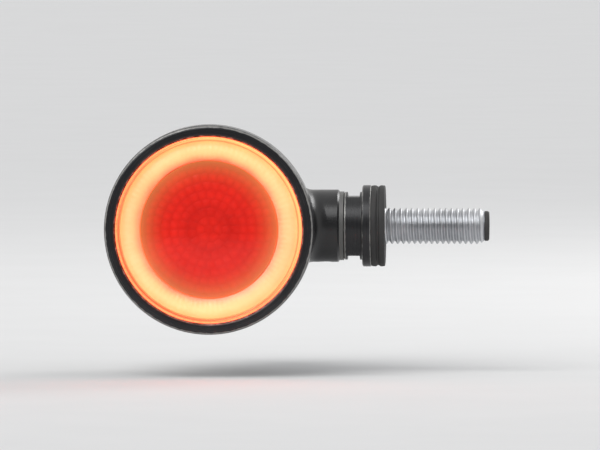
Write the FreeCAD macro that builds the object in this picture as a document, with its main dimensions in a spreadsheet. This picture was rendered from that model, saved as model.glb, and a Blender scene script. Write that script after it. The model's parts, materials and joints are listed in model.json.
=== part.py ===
import FreeCAD, Part

import math
import os

import Sketcher

# A bullet tail light for a motorcycle: a turned and bored housing with a glowing ring behind a clear domed
# lens, carried on a hollow swivel post that bolts to a bracket through a rubber pad.
#
# Every piece is modelled in one local frame and then shifted along X by the same amount. In that frame the
# optical axis is Y, with the lens towards -Y and the tail towards +Y. The swivel axis is X, and the two axes
# cross at the local origin. After the shift, X = 0 is the face that lies against the bracket.

SIZES = {
    # housing
    "shell_radius": (22.5, "outside of the housing where it is widest"),
    "shell_wall": (2.0, "wall of the tapering tail"),
    "rim_ahead": (21.0, "open front rim, ahead of the swivel axis"),
    "spigot_length": (5.0, "reduced front that the bezel screws over"),
    "spigot_step": (1.1, "how much smaller in radius that front is"),
    "spigot_wall": (1.4, "wall of that front"),
    "ledge_ahead": (9.0, "inner ledge that the heat sink seats on, ahead of the swivel axis"),
    "ledge_width": (1.7, "how far the ledge stands in"),
    "ogive_ahead": (11.5, "where the long curve of the tail begins, ahead of the swivel axis"),
    "tail_behind": (34.0, "flat end of the tail, behind the swivel axis"),
    "tail_rim": (1.9, "land around the tail screw's counterbore"),
    "tail_wall": (3.0, "web that the tail screw pulls against"),
    "tail_round": (2.2, "rounding of the tail's edge"),
    "small_edge": (0.4, "chamfer on machined edges"),
    # neck and swivel
    "neck_radius": (8.0, "outside of the neck"),
    "neck_out": (5.5, "how far the neck stands out of the housing"),
    "neck_depth": (12.5, "length of the neck's bore"),
    "neck_fillet": (3.0, "blend between neck and housing"),
    "journal_radius": (5.0, "part of the post that turns in the neck"),
    "bush_wall": (1.0, "wall of the swivel bushes"),
    "bush_margin": (0.5, "between the inner bush and the O-ring's groove"),
    "outer_bush_length": (1.2, "sleeve of the flanged outer bush"),
    "bush_flange": (0.9, "flange of the outer bush"),
    "bush_flange_radius": (7.6, "outside of that flange"),
    "swivel_limit": (30.0, "degrees that the head turns each way"),
    "stop_inset": (3.0, "clamp screw, in from the end of the neck"),
    "stop_radius": (1.5, "thread of the clamp screw"),
    "stop_sink": (0.4, "how far the clamp screw sits below the neck"),
    "dog_radius": (1.0, "dog point of the clamp screw"),
    "slot_depth": (1.2, "depth of the slot that the dog point runs in"),
    "slot_slack": (1.0, "degrees to spare at each end of that slot"),
    "seal_inset": (7.0, "O-ring of the post, in from the end of the neck"),
    "seal_depth": (0.8, "depth of the groove for that O-ring"),
    # stem
    "cable_radius": (2.5, "bore for the cable through post and stud"),
    "collar_radius": (7.5, "collar of the post"),
    "collar_length": (4.0, "length of the collar"),
    "collar_flats": (13.0, "width across the spanner flats"),
    "foot_radius": (9.0, "foot of the post, and the rubber pad"),
    "foot_thick": (2.0, "thickness of the foot"),
    "pad_thick": (3.0, "thickness of the rubber pad"),
    "pad_gap": (0.2, "between the rubber pad and the stud"),
    "stud_radius": (4.0, "mounting stud over the threads"),
    "stud_out": (22.0, "stud beyond the bracket face"),
    "stud_grip": (5.0, "stud screwed into the post"),
    "stud_lead": (0.8, "chamfer of the stud's ends"),
    "relief_depth": (0.5, "depth of the thread relief"),
    "relief_width": (1.5, "width of the thread relief"),
    "thread_pitch": (1.25, "pitch of the stud's thread"),
    "thread_depth": (0.64, "depth of that thread"),
    "thread_root": (0.3, "flat at the bottom of each groove"),
    "thread_start": (0.9, "middle of the first groove, beyond the bracket face"),
    "grommet_length": (6.0, "cable grommet inside the stud"),
    "grommet_bore": (1.9, "radius of the cable hole in the grommet"),
    "grommet_lip": (1.0, "thickness of the grommet's lip"),
    "grommet_lip_radius": (3.3, "outside of the grommet's lip"),
    # bezel, seal and lens
    "bezel_wall": (1.55, "wall of the bezel over the spigot"),
    "bezel_lip": (1.2, "lip that traps the lens"),
    "lip_width": (2.5, "how far the lip reaches in from the bezel's outside"),
    "bezel_gap": (0.5, "shadow gap between bezel and housing"),
    "bezel_edge": (0.8, "chamfer of the bezel's front edge"),
    "gasket_thick": (1.0, "flat gasket under the lens"),
    "lens_flange": (1.5, "flange of the lens"),
    "lens_wall": (1.7, "wall of the lens"),
    "lens_proud": (0.3, "edge of the dome, ahead of the lip"),
    "lens_rise": (2.0, "rise of the dome above its edge"),
    # optical module
    "sink_thick": (3.0, "disc of the heat sink"),
    "rod_radius": (4.0, "rod of the heat sink"),
    "rib_gap": (0.75, "between the heat sink's ribs and the board posts"),
    "rib_height": (4.0, "height of the ribs"),
    "rib_thick": (1.2, "thickness of the ribs"),
    "rib_count": (6, "number of ribs"),
    "pad_foil": (0.5, "thermal pad"),
    "board_thick": (1.6, "LED board"),
    "board_margin": (0.6, "gap around the LED board"),
    "floor_thick": (1.3, "floor of the optic carrier"),
    "tube_wall": (1.2, "wall of that tube"),
    "guide_width": (4.3, "ring light guide, across"),
    "guide_margin": (0.5, "gap around the light guide"),
    "guide_sink": (1.3, "light guide's front edges, behind the edge of the lens's inner dome"),
    "guide_crown": (3.6, "radius of the light guide's rounded front"),
    "brake_sink": (0.8, "brake lens, behind the front edges of the light guide"),
    "brake_thick": (1.4, "brake lens at its edge"),
    "brake_rise": (0.7, "rise of the brake lens"),
    "cup_wall": (0.8, "wall of the reflector cup"),
    "cup_step": (0.7, "between the collimator's bore and the hole in the reflector cup"),
    "cup_curve": (6.0, "radius of the reflector cup's curved wall"),
    "cup_gap": (0.8, "between the reflector cup and the brake lens"),
    "optic_radius": (4.9, "front of the collimator"),
    "optic_gap": (0.7, "between the collimator and the brake lens"),
    "led_count": (16, "LEDs under the ring"),
    "led_side": (2.0, "side of one LED"),
    "led_height": (0.8, "height of one LED"),
    "led_gap": (0.2, "gap around an LED"),
    "brake_led_side": (3.4, "side of the brake LED"),
    "brake_led_dome": (1.3, "radius of the brake LED's dome"),
    # small screws and the driver
    "m2_radius": (1.0, "shank of the small screws"),
    "m2_head_radius": (1.8, "head of the small screws"),
    "m2_head_height": (1.1, "height of that head"),
    "m2_key": (1.5, "width across the key socket"),
    "thread_run_out": (0.4, "blind holes, beyond the point of their screw"),
    "module_screw_length": (6.4, "shank of a module screw"),
    "module_screw_circle": (8.0, "radius of the module screws' circle"),
    "driver_screw_length": (4.0, "shank of a driver screw"),
    "post_circle": (11.5, "radius of the board posts' circle"),
    "post_radius": (1.75, "board post"),
    "post_stub": (2.0, "stub of a board post in the heat sink"),
    "driver_behind": (11.0, "driver board, behind the swivel axis"),
    "driver_thick": (1.2, "driver board"),
    "driver_margin": (1.2, "gap around the driver board"),
    "rod_gap": (0.2, "gap between the heat sink's rod and the driver board"),
    "part_circle": (8.2, "radius that the driver's larger parts stand on"),
    "capacitor_radius": (2.6, "capacitor"),
    "capacitor_height": (6.5, "capacitor"),
    "inductor_radius": (2.7, "inductor"),
    "inductor_height": (3.4, "inductor"),
    "chip_side": (3.4, "side of a driver chip"),
    "chip_height": (1.1, "height of a driver chip"),
    "chip_margin": (0.8, "between the driver board's hole and the nearer chips"),
    "terminal_long": (6.0, "terminal block, along the swivel axis"),
    "terminal_wide": (7.0, "terminal block, up and down"),
    "terminal_tall": (4.5, "terminal block, off the board"),
    "terminal_way": (1.2, "side of a wire entry in the terminal block"),
    "terminal_pitch": (2.0, "distance between its wire entries"),
    # tail screw and vent
    "tail_screw_radius": (2.0, "tail screw"),
    "tail_screw_length": (12.0, "tail screw, under its head"),
    "tail_head_radius": (3.5, "head of the tail screw"),
    "tail_head_height": (4.0, "height of that head"),
    "tail_head_sink": (0.6, "how far the head lies below the tail's end"),
    "tail_head_gap": (0.2, "gap around the head"),
    "tail_key": (3.0, "width across the key socket"),
    "tail_washer": (0.8, "sealing washer under the head"),
    "vent_behind": (14.0, "vent plug, behind the swivel axis"),
    "vent_radius": (2.6, "head of the vent plug"),
    "vent_thick": (1.0, "thickness of that head"),
    "vent_stem": (1.0, "radius of the vent plug's stem"),
    "vent_inset": (0.6, "shallowest depth of the vent plug's seat"),
    # fits
    "fit_gap": (0.03, "between pieces fixed together"),
    "loose_gap": (0.1, "around a screw in its clearance hole"),
    "run_gap": (0.05, "between the journal and its bushes"),
    "end_gap": (0.1, "between the outer bush and the collar"),
}
# Screws, and posts, around each board. Everything else on the boards stands between them.
SCREW_COUNT = 3
# How far a through cut starts outside the piece and ends beyond it, which changes no shape.
OVERRUN = 1.0

doc = FreeCAD.newDocument("tail_light")
sheet = doc.addObject("Spreadsheet::Sheet", "Sizes")
for line, (alias, (number, note)) in enumerate(SIZES.items(), start=1):
    sheet.set(f"A{line}", alias)
    sheet.set(f"B{line}", str(number))
    sheet.setAlias(f"B{line}", alias)
    sheet.set(f"C{line}", note)
doc.recompute()


# ---------------------------------------------------------------- sizes that know their formula


class Size:
    """A size that carries its present value and the same thing as a formula over the sheet's cells."""

    def __init__(self, value, formula):
        self.value = float(value)
        self.formula = formula

    def __add__(self, other):
        other = size(other)
        return Size(self.value + other.value, f"({self.formula} + {other.formula})")

    def __sub__(self, other):
        other = size(other)
        return Size(self.value - other.value, f"({self.formula} - {other.formula})")

    def __mul__(self, other):
        other = size(other)
        return Size(self.value * other.value, f"({self.formula} * {other.formula})")

    def __truediv__(self, other):
        other = size(other)
        return Size(self.value / other.value, f"({self.formula} / {other.formula})")

    def __neg__(self):
        return Size(-self.value, f"(-{self.formula})")

    def __rsub__(self, other):
        return size(other) - self

    def __rmul__(self, other):
        return size(other) * self


def size(thing):
    """A plain number as a Size, or the Size itself."""
    return thing if isinstance(thing, Size) else Size(thing, repr(float(thing)))


def root(area):
    """The square root of a Size."""
    return Size(area.value**0.5, f"sqrt({area.formula})")


def whole(amount):
    """The whole part of a Size."""
    return Size(math.floor(amount.value), f"floor({amount.formula})")


def degrees_of(sine):
    """The angle with this sine, in plain degrees."""
    return Size(math.degrees(math.asin(sine.value)), f"(asin({sine.formula}) / 1 deg)")


class Cells:
    """Gives each cell of the sheet as a Size: S.shell_radius is the cell with that alias."""

    def __getattr__(self, alias):
        return Size(getattr(sheet, alias), f"Sizes.{alias}")


S = Cells()


# ---------------------------------------------------------------- drawing helpers

V = FreeCAD.Vector
TURNS = {
    "+X": FreeCAD.Rotation(V(0, 1, 0), 90),
    "+Y": FreeCAD.Rotation(V(1, 0, 0), -90),
    "-Y": FreeCAD.Rotation(V(1, 0, 0), 90),
    "+Z": FreeCAD.Rotation(),
    "-Z": FreeCAD.Rotation(V(1, 0, 0), 180),
}
ORIGIN_POINT = (-1, 1)
pieces = []


def origin_feature(body, role):
    """The body's own origin plane or axis with this role."""
    return next(f for f in body.Origin.OriginFeatures if f.Role == role)


def new_body(label, many=False):
    """A body for one piece, shifted so that the bracket face comes to X = 0. many allows separate solids."""
    body = doc.addObject("PartDesign::Body", label)
    body.Label = label
    body.AllowCompound = many
    body.setExpression("Placement.Base.x", (-reach).formula)
    pieces.append(body)
    return body


def arc_between(start, end, radius, left):
    """The circle arc of that radius from start to end, bulging to the left or right of the way there.
    Returns the arc and whether its own direction is the same as the way."""
    middle = (start + end) * 0.5
    chord = end - start
    back = (radius**2 - (chord.Length / 2) ** 2) ** 0.5
    sideways = V(chord.y, -chord.x, 0).normalize() * (back if left else -back)
    centre = middle + sideways
    circle = Part.Circle(centre, V(0, 0, 1), radius)
    first, last = (end, start) if left else (start, end)
    turn_first = circle.parameter(first)
    turn_last = circle.parameter(last)
    return Part.ArcOfCircle(circle, turn_first, turn_last), not left


def draw(sketch, corners):
    """A closed outline through the corners, each (x, y), or (x, y, radius, "left" or "right") where the side
    that arrives at it is an arc bulging to that side. Every corner and radius is tied to its formula."""
    points = [V(size(c[0]).value, size(c[1]).value, 0) for c in corners]
    sides = []
    for i, corner in enumerate(corners):
        start, end = points[i - 1], points[i]
        if len(corner) == 4:
            shape, same_way = arc_between(start, end, corner[2].value, corner[3] == "left")
        else:
            shape, same_way = Part.LineSegment(start, end), True
        index = sketch.addGeometry(shape)
        sides.append((index, 1, 2) if same_way else (index, 2, 1))
    for i, corner in enumerate(corners):
        index, _, last = sides[i]
        following, first, _ = sides[(i + 1) % len(sides)]
        sketch.addConstraint(Sketcher.Constraint("Coincident", index, last, following, first))
        for kind, where in (("DistanceX", size(corner[0])), ("DistanceY", size(corner[1]))):
            tie(sketch, Sketcher.Constraint(kind, *ORIGIN_POINT, index, last, where.value), where)
        if len(corner) == 4:
            tie(sketch, Sketcher.Constraint("Radius", index, corner[2].value), corner[2])


def tie(sketch, constraint, formula):
    """Adds a constraint and binds it to a formula."""
    number = sketch.addConstraint(constraint)
    sketch.setExpression(f"Constraints[{number}]", formula.formula)


def outline_sketch(body, name, corners, role="XY_Plane", offset=None):
    """A sketch of one closed outline on one of the body's origin planes, shifted by (x, z) if asked."""
    sketch = body.newObject("Sketcher::SketchObject", name + "_sketch")
    sketch.AttachmentSupport = [(origin_feature(body, role), "")]
    sketch.MapMode = "FlatFace"
    if offset is not None:
        sketch.setExpression("AttachmentOffset.Base.x", size(offset[0]).formula)
        sketch.setExpression("AttachmentOffset.Base.z", size(offset[1]).formula)
    draw(sketch, corners)
    return sketch


def turned(body, name, corners, about="V_Axis", kind="Revolution", offset=None):
    """Turns an outline in the XY plane about Y (V_Axis, x is the radius) or about X (H_Axis, y is the radius).
    kind Groove takes material away. An offset (x, z) moves the outline and its axis together."""
    sketch = outline_sketch(body, name, corners, offset=offset)
    feature = body.newObject("PartDesign::" + kind, name)
    feature.Profile = sketch
    feature.ReferenceAxis = (sketch, [about])
    feature.Angle = 360
    return feature


def put(feature, start, towards="+Z"):
    """Ties the place of a primitive to formulas, with its own Z along the direction named."""
    feature.Placement = FreeCAD.Placement(V(*[size(c).value for c in start]), TURNS[towards])
    for letter, where in zip("xyz", start):
        feature.setExpression(f"Placement.Base.{letter}", size(where).formula)
    return feature


def cylinder(body, name, radius, length, start, towards, kind="Additive"):
    """Adds or cuts a cylinder that begins at start and runs the way named."""
    feature = body.newObject(f"PartDesign::{kind}Cylinder", name)
    feature.setExpression("Radius", size(radius).formula)
    feature.setExpression("Height", size(length).formula)
    return put(feature, start, towards)


def hole(body, name, radius, length, start, towards):
    """Cuts a round hole."""
    return cylinder(body, name, radius, length, start, towards, kind="Subtractive")


def block(body, name, sides, low, kind="Additive"):
    """Adds or cuts a box of these sides from its lowest corner."""
    feature = body.newObject(f"PartDesign::{kind}Box", name)
    for prop, side in zip(("Length", "Width", "Height"), sides):
        feature.setExpression(prop, size(side).formula)
    return put(feature, low)


def key_socket(body, name, across, depth, start, towards):
    """Cuts a hexagonal socket, given its width across the flats."""
    feature = body.newObject("PartDesign::SubtractivePrism", name)
    feature.Polygon = 6
    feature.setExpression("Circumradius", (across / root(size(3))).formula)
    feature.setExpression("Height", depth.formula)
    return put(feature, start, towards)


def around(body, name, features, count):
    """Repeats features evenly around the optical axis."""
    doc.recompute()
    pattern = body.newObject("PartDesign::PolarPattern", name)
    pattern.Originals = features
    pattern.Axis = (origin_feature(body, "Y_Axis"), [""])
    pattern.Angle = 360
    pattern.setExpression("Occurrences", size(count).formula)
    body.Tip = pattern
    return pattern


def in_row(body, name, features, step, count):
    """Repeats features along the swivel axis, one step apart."""
    doc.recompute()
    pattern = body.newObject("PartDesign::LinearPattern", name)
    pattern.Originals = features
    pattern.Direction = (origin_feature(body, "X_Axis"), [""])
    pattern.setExpression("Length", (step * (count - 1)).formula)
    pattern.setExpression("Occurrences", count.formula)
    body.Tip = pattern
    return pattern


def rounded(body, name, base, radius, chosen):
    """Fillets the edges of base that the test chosen picks."""
    doc.recompute()
    names = [f"Edge{n}" for n, edge in enumerate(base.Shape.Edges, start=1) if chosen(edge)]
    if not names:
        raise ValueError(f"{name}: no edge to round")
    feature = body.newObject("PartDesign::Fillet", name)
    feature.Base = (base, names)
    feature.setExpression("Radius", radius.formula)
    return feature


def disc(x, thick, outer, inner=0):
    """Corners of a flat ring or disc about Y, from y = x on."""
    return [(inner, x), (outer, x), (outer, x + thick), (inner, x + thick)]


def on_circle(radius, step, steps):
    """x and z of a point on a circle about Y, step of steps round from +X, where steps is 3 or 6."""
    cosines = {0: 1.0, 60: 0.5, 120: -0.5, 180: -1.0, 240: -0.5, 300: 0.5}
    sines = {0: 0.0, 60: 1.0, 120: 1.0, 180: 0.0, 240: -1.0, 300: -1.0}
    angle = 360 * step // steps
    return radius * cosines[angle], radius * root(size(3)) / 2 * sines[angle]


# ---------------------------------------------------------------- places shared by several pieces

# Radii, from the housing inwards.
spigot_radius = S.shell_radius - S.spigot_step
mouth_radius = spigot_radius - S.spigot_wall
cavity_radius = mouth_radius - S.ledge_width
bezel_radius = spigot_radius + S.fit_gap + S.bezel_wall
window_radius = bezel_radius - S.lip_width
guide_outer = mouth_radius - S.guide_margin
guide_inner = guide_outer - S.guide_width
led_circle = (guide_outer + guide_inner) / 2

# Stations along the optical axis, from the ledge forwards.
ledge = -S.ledge_ahead
sink_front = ledge - S.sink_thick
foil_front = sink_front - S.pad_foil
board_front = foil_front - S.board_thick
floor_front = board_front - S.floor_thick
cup_front = floor_front - S.cup_wall
tube_outer = guide_inner - S.loose_gap
tube_inner = tube_outer - S.tube_wall

# Stations from the rim forwards.
rim = -S.rim_ahead
shoulder = rim + S.spigot_length
gasket_front = rim - S.gasket_thick
flange_front = gasket_front - S.lens_flange
bezel_front = flange_front - S.bezel_lip
dome_edge = bezel_front - S.lens_proud
inner_dome_edge = dome_edge + S.lens_wall
guide_front = inner_dome_edge + S.guide_sink
brake_edge = guide_front + S.brake_sink
tube_front = brake_edge + S.brake_thick

# The tail's long curve is one arc, tangent to the straight part, and the cavity's arc has the same centre.
tail_radius = S.tail_head_radius + S.tail_head_gap + S.tail_rim
fall = S.shell_radius - tail_radius
run = S.tail_behind + S.ogive_ahead
ogive = (fall * fall + run * run) / (2 * fall)
ogive_x = S.shell_radius - ogive
seat = S.tail_behind - S.tail_head_sink - S.tail_head_height - S.tail_washer
cavity_end = seat - S.tail_wall


def shell_at(y, inset=0):
    """Radius of the tail's surface at y, or of the arc that lies inset inside it."""
    away = y + S.ogive_ahead
    radius = ogive - inset
    return ogive_x + root(radius * radius - away * away)


# Stations along the swivel axis, outwards to the bracket.
neck_end = S.shell_radius + S.neck_out
neck_start = neck_end - S.neck_depth
bush_outer = S.journal_radius + S.run_gap + S.bush_wall
neck_bore = bush_outer + S.fit_gap
collar_start = neck_end + S.bush_flange + S.end_gap
foot_start = collar_start + S.collar_length
post_end = foot_start + S.foot_thick
reach = post_end + S.pad_thick
stud_start = post_end - S.stud_grip
stud_end = reach + S.stud_out
stop_at = neck_end - S.stop_inset
seal_at = neck_end - S.seal_inset
seal_floor = S.journal_radius - S.seal_depth
seal_section = (neck_bore - seal_floor) / 2 - S.fit_gap
groove_half = seal_section + S.loose_gap
# Where the stud is screwed into the post, both are drawn smooth at the middle of the thread's depth.
grip_radius = S.stud_radius - S.thread_depth / 2
slot_floor = S.journal_radius - S.slot_depth

driver_back = S.driver_behind + S.driver_thick


# ---------------------------------------------------------------- the head: casing


def make_housing():
    """Turned bullet with a neck on one side, bored out from the front."""
    body = new_body("housing")
    edge = S.small_edge
    turned(
        body,
        "bullet",
        [
            (0, rim),
            (spigot_radius - edge, rim),
            (spigot_radius, rim + edge),
            (spigot_radius, shoulder),
            (S.shell_radius - edge, shoulder),
            (S.shell_radius, shoulder + edge),
            (S.shell_radius, -S.ogive_ahead),
            (tail_radius, S.tail_behind, ogive, "right"),
            (0, S.tail_behind),
        ],
    )
    neck = turned(
        body,
        "neck",
        [
            (neck_start, 0),
            (neck_start, S.neck_radius),
            (neck_end - edge, S.neck_radius),
            (neck_end, S.neck_radius - edge),
            (neck_end, 0),
        ],
        about="H_Axis",
    )
    rounded(body, "neck_blend", neck, S.neck_fillet, is_neck_root)
    turned(
        body,
        "cavity",
        [
            (0, rim - OVERRUN),
            (mouth_radius, rim - OVERRUN),
            (mouth_radius, ledge),
            (cavity_radius, ledge),
            (cavity_radius, cavity_bend()),
            (shell_at(cavity_end, S.shell_wall), cavity_end, ogive - S.shell_wall, "right"),
            (0, cavity_end),
        ],
        kind="Groove",
    )
    inner_length = S.shell_radius - neck_start
    cylinder(body, "inner_neck", S.neck_radius, inner_length, (neck_start, 0, 0), "+X")
    length = neck_end - neck_start + 2 * OVERRUN
    hole(body, "neck_hole", neck_bore, length, (neck_start - OVERRUN, 0, 0), "+X")
    hole(
        body,
        "clamp_thread",
        S.stop_radius + S.fit_gap,
        S.neck_radius + OVERRUN - S.journal_radius,
        (stop_at, 0, -S.neck_radius - OVERRUN),
        "+Z",
    )
    hole(
        body,
        "vent_seat",
        S.vent_radius + S.loose_gap,
        S.shell_radius - vent_floor(),
        (0, S.vent_behind, -S.shell_radius),
        "+Z",
    )
    hole(body, "vent_hole", S.vent_stem + S.fit_gap, S.shell_radius, (0, S.vent_behind, -S.shell_radius), "+Z")
    hole(
        body,
        "counterbore",
        S.tail_head_radius + S.tail_head_gap,
        S.tail_behind - seat + OVERRUN,
        (0, seat, 0),
        "+Y",
    )
    through = hole(
        body,
        "tail_hole",
        S.tail_screw_radius + S.loose_gap,
        S.tail_wall + 2 * OVERRUN,
        (0, cavity_end - OVERRUN, 0),
        "+Y",
    )
    rounded(body, "tail_rounding", through, S.tail_round, is_tail_edge)


def cavity_bend():
    """Where the straight cavity meets the arc that keeps the tail's wall even."""
    radius = ogive - S.shell_wall
    across = cavity_radius - ogive_x
    return root(radius * radius - across * across) - S.ogive_ahead


def vent_floor():
    """Depth of the vent plug's flat seat, as a distance below the optical axis."""
    return shell_at(S.vent_behind + S.vent_radius) - S.vent_inset


def is_neck_root(edge):
    """An edge on the neck's surface that isn't one of the neck's own end circles."""
    points = edge.discretize(9)
    on_neck = all(abs((p.y**2 + p.z**2) ** 0.5 - S.neck_radius.value) < 1e-3 for p in points)
    spread = max(p.x for p in points) - min(p.x for p in points)
    straight = abs(points[0].y - points[-1].y) < 1e-6 and abs(points[0].z - points[-1].z) < 1e-6
    return on_neck and spread > 1e-3 and not (straight and not edge.isClosed())


def is_tail_edge(edge):
    """The outer circle of the tail's flat end."""
    points = edge.discretize(5)
    return all(
        abs(p.y - S.tail_behind.value) < 1e-4
        and abs((p.x**2 + p.z**2) ** 0.5 - tail_radius.value) < 1e-3
        for p in points
    )


def make_bezel():
    """Ring that screws over the front and traps the lens under its lip."""
    body = new_body("bezel_ring")
    bore = spigot_radius + S.fit_gap
    back = shoulder - S.bezel_gap
    turned(
        body,
        "ring",
        [
            (window_radius + S.small_edge, bezel_front),
            (bezel_radius - S.bezel_edge, bezel_front),
            (bezel_radius, bezel_front + S.bezel_edge),
            (bezel_radius, back - S.small_edge),
            (bezel_radius - S.small_edge, back),
            (bore, back),
            (bore, flange_front),
            (window_radius, flange_front),
            (window_radius, bezel_front + S.small_edge),
        ],
    )


def make_gasket():
    """Flat gasket between the lens and the housing's rim."""
    body = new_body("lens_gasket")
    turned(body, "ring", disc(gasket_front, S.gasket_thick, spigot_radius - S.small_edge, mouth_radius))


def make_lens():
    """Clear domed cover with a flange."""
    body = new_body("outer_lens")
    window = window_radius - S.loose_gap
    bore = guide_outer + S.loose_gap
    turned(
        body,
        "cover",
        [
            (0, dome_edge - S.lens_rise),
            (window, dome_edge, cap_radius(window, S.lens_rise), "right"),
            (window, flange_front),
            (spigot_radius - S.fit_gap, flange_front),
            (spigot_radius - S.fit_gap, gasket_front),
            (bore, gasket_front),
            (bore, inner_dome_edge),
            (0, inner_dome_edge - S.lens_rise, cap_radius(bore, S.lens_rise), "left"),
        ],
    )


def cap_radius(half_width, rise):
    """Radius of the arc that rises that much over half its width."""
    return (half_width * half_width + rise * rise) / (2 * rise)


# ---------------------------------------------------------------- the head: optical module


def make_light_guide():
    """Ring of clear plastic that carries the light of the small LEDs to the front."""
    body = new_body("light_guide")
    turned(
        body,
        "ring",
        [
            (guide_inner, floor_front),
            (guide_inner, guide_front),
            (guide_outer, guide_front, S.guide_crown, "right"),
            (guide_outer, floor_front),
        ],
    )


def make_brake_lens():
    """Slightly domed red disc inside the ring."""
    body = new_body("brake_lens")
    edge = tube_outer
    turned(
        body,
        "disc",
        [
            (0, tube_front),
            (0, brake_edge - S.brake_rise),
            (edge, brake_edge, cap_radius(edge, S.brake_rise), "right"),
            (edge, tube_front),
        ],
    )


def make_carrier():
    """Floor with a window over each LED, and the tube that holds the light guide and the brake lens apart."""
    body = new_body("optic_carrier")
    turned(
        body,
        "floor_and_tube",
        [
            (S.optic_radius, board_front),
            (S.optic_radius, floor_front),
            (tube_inner, floor_front),
            (tube_inner, tube_front),
            (tube_outer, tube_front),
            (tube_outer, floor_front),
            (guide_outer, floor_front),
            (guide_outer, board_front),
        ],
    )
    corner = S.led_side / root(size(2)) + S.led_gap
    length = S.floor_thick + 2 * OVERRUN
    window = hole(body, "window", corner, length, (led_circle, floor_front - OVERRUN, 0), "+Y")
    around(body, "windows", [window], S.led_count)
    screw_ways(body, floor_front, S.floor_thick)


def make_cup():
    """Bright dish around the collimator. Its flat floor lies on the carrier, under the heads of the screws."""
    body = new_body("reflector_cup")
    top = tube_front + S.cup_gap
    outer = tube_inner - S.loose_gap
    hole_radius = S.optic_radius + S.cup_step
    flat = S.module_screw_circle + S.m2_head_radius + S.loose_gap
    turned(
        body,
        "dish",
        [
            (hole_radius, floor_front),
            (hole_radius, cup_front),
            (flat, cup_front),
            (outer - S.cup_wall, top, S.cup_curve, "left"),
            (outer, top),
            (flat + S.cup_wall, floor_front, S.cup_curve, "right"),
        ],
    )
    screw_ways(body, cup_front, S.cup_wall)


def make_collimator():
    """Cone that gathers the brake LED's light, standing on the board around the LED."""
    body = new_body("collimator")
    front = tube_front + S.optic_gap
    foot = S.brake_led_side / root(size(2)) + S.led_gap
    pocket = board_front - S.led_height - S.brake_led_dome - S.led_gap
    turned(
        body,
        "cone",
        [
            (foot, board_front),
            (foot, pocket),
            (0, pocket),
            (0, front),
            (S.optic_radius - S.loose_gap, front),
            (S.optic_radius - S.loose_gap, front + S.small_edge),
            (foot + S.small_edge, board_front),
        ],
    )


def make_led_board():
    """Round board with the ring of LEDs and the brake LED."""
    body = new_body("led_board")
    turned(body, "plate", disc(board_front, S.board_thick, mouth_radius - S.board_margin))
    screw_ways(body, board_front, S.board_thick)


def screw_ways(body, front, thick):
    """Clearance holes for the module screws through a disc."""
    x, z = on_circle(S.module_screw_circle, 0, 3)
    length = thick + 2 * OVERRUN
    way = hole(body, "screw_way", S.m2_radius + S.loose_gap, length, (x, front - OVERRUN, z), "+Y")
    around(body, "screw_ways", [way], SCREW_COUNT)


def make_ring_leds():
    """The small LEDs under the light guide."""
    body = new_body("ring_leds", many=True)
    half = S.led_side / 2
    low = (led_circle - half, board_front - S.led_height, -half)
    led = block(body, "led", (S.led_side, S.led_height, S.led_side), low)
    around(body, "ring", [led], S.led_count)


def make_brake_led():
    """Square package with a dome."""
    body = new_body("brake_led")
    half = S.brake_led_side / 2
    low = (-half, board_front - S.led_height, -half)
    block(body, "package", (S.brake_led_side, S.led_height, S.brake_led_side), low)
    top = board_front - S.led_height
    turned(
        body,
        "dome",
        [
            (0, top),
            (0, top - S.brake_led_dome),
            (S.brake_led_dome, top, S.brake_led_dome, "right"),
        ],
    )


def make_thermal_pad():
    """Soft foil between the LED board and the heat sink."""
    body = new_body("thermal_pad")
    turned(body, "foil", disc(foil_front, S.pad_foil, mouth_radius - S.board_margin))
    screw_ways(body, foil_front, S.pad_foil)


def make_heat_sink():
    """Disc on the ledge, with ribs, and a rod back to the tail that the tail screw pulls on."""
    body = new_body("heat_sink")
    turned(
        body,
        "disc_and_rod",
        [
            (0, sink_front),
            (mouth_radius - S.loose_gap, sink_front),
            (mouth_radius - S.loose_gap, ledge),
            (S.rod_radius, ledge),
            (S.rod_radius, cavity_end),
            (0, cavity_end),
        ],
    )
    rib_long = S.post_circle - S.post_radius - S.rib_gap
    sides = (rib_long, S.sink_thick + S.rib_height, S.rib_thick)
    rib = block(body, "rib", sides, (0, sink_front, -S.rib_thick / 2))
    around(body, "ribs", [rib], S.rib_count)
    depth = S.tail_screw_length - S.tail_washer - S.tail_wall + S.thread_run_out
    hole(body, "tail_thread", S.tail_screw_radius + S.fit_gap, depth, (0, cavity_end - depth, 0), "+Y")
    depth = S.module_screw_length - (sink_front - cup_front) + S.thread_run_out
    x, z = on_circle(S.module_screw_circle, 0, 3)
    thread = hole(body, "module_thread", S.m2_radius + S.fit_gap, depth, (x, sink_front, z), "+Y")
    around(body, "module_threads", [thread], SCREW_COUNT)
    x, z = on_circle(S.post_circle, 1, 6)
    socket = hole(body, "post_socket", S.m2_radius + S.fit_gap, S.post_stub, (x, ledge, z), "-Y")
    around(body, "post_sockets", [socket], SCREW_COUNT)


def pan_screw(body, under, length, x, z, ahead):
    """A small screw at (x, z), its head seated at y = under. ahead is 1 if its point is towards +Y, else -1."""
    top = under - ahead * S.m2_head_height
    edge = S.small_edge
    screw = turned(
        body,
        "screw",
        [
            (0, top),
            (S.m2_head_radius - edge, top),
            (S.m2_head_radius, top + ahead * edge),
            (S.m2_head_radius, under),
            (S.m2_radius, under),
            (S.m2_radius, under + ahead * length),
            (0, under + ahead * length),
        ],
        offset=(x, z),
    )
    towards = "+Y" if ahead > 0 else "-Y"
    key = key_socket(body, "key", S.m2_key, S.m2_head_height / 2, (x, top, z), towards)
    return [screw, key]


def make_module_screws():
    """Three screws that clamp carrier, board and foil to the heat sink."""
    body = new_body("module_screws", many=True)
    x, z = on_circle(S.module_screw_circle, 0, 3)
    features = pan_screw(body, cup_front, S.module_screw_length, x, z, 1)
    around(body, "screws", features, SCREW_COUNT)


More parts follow.
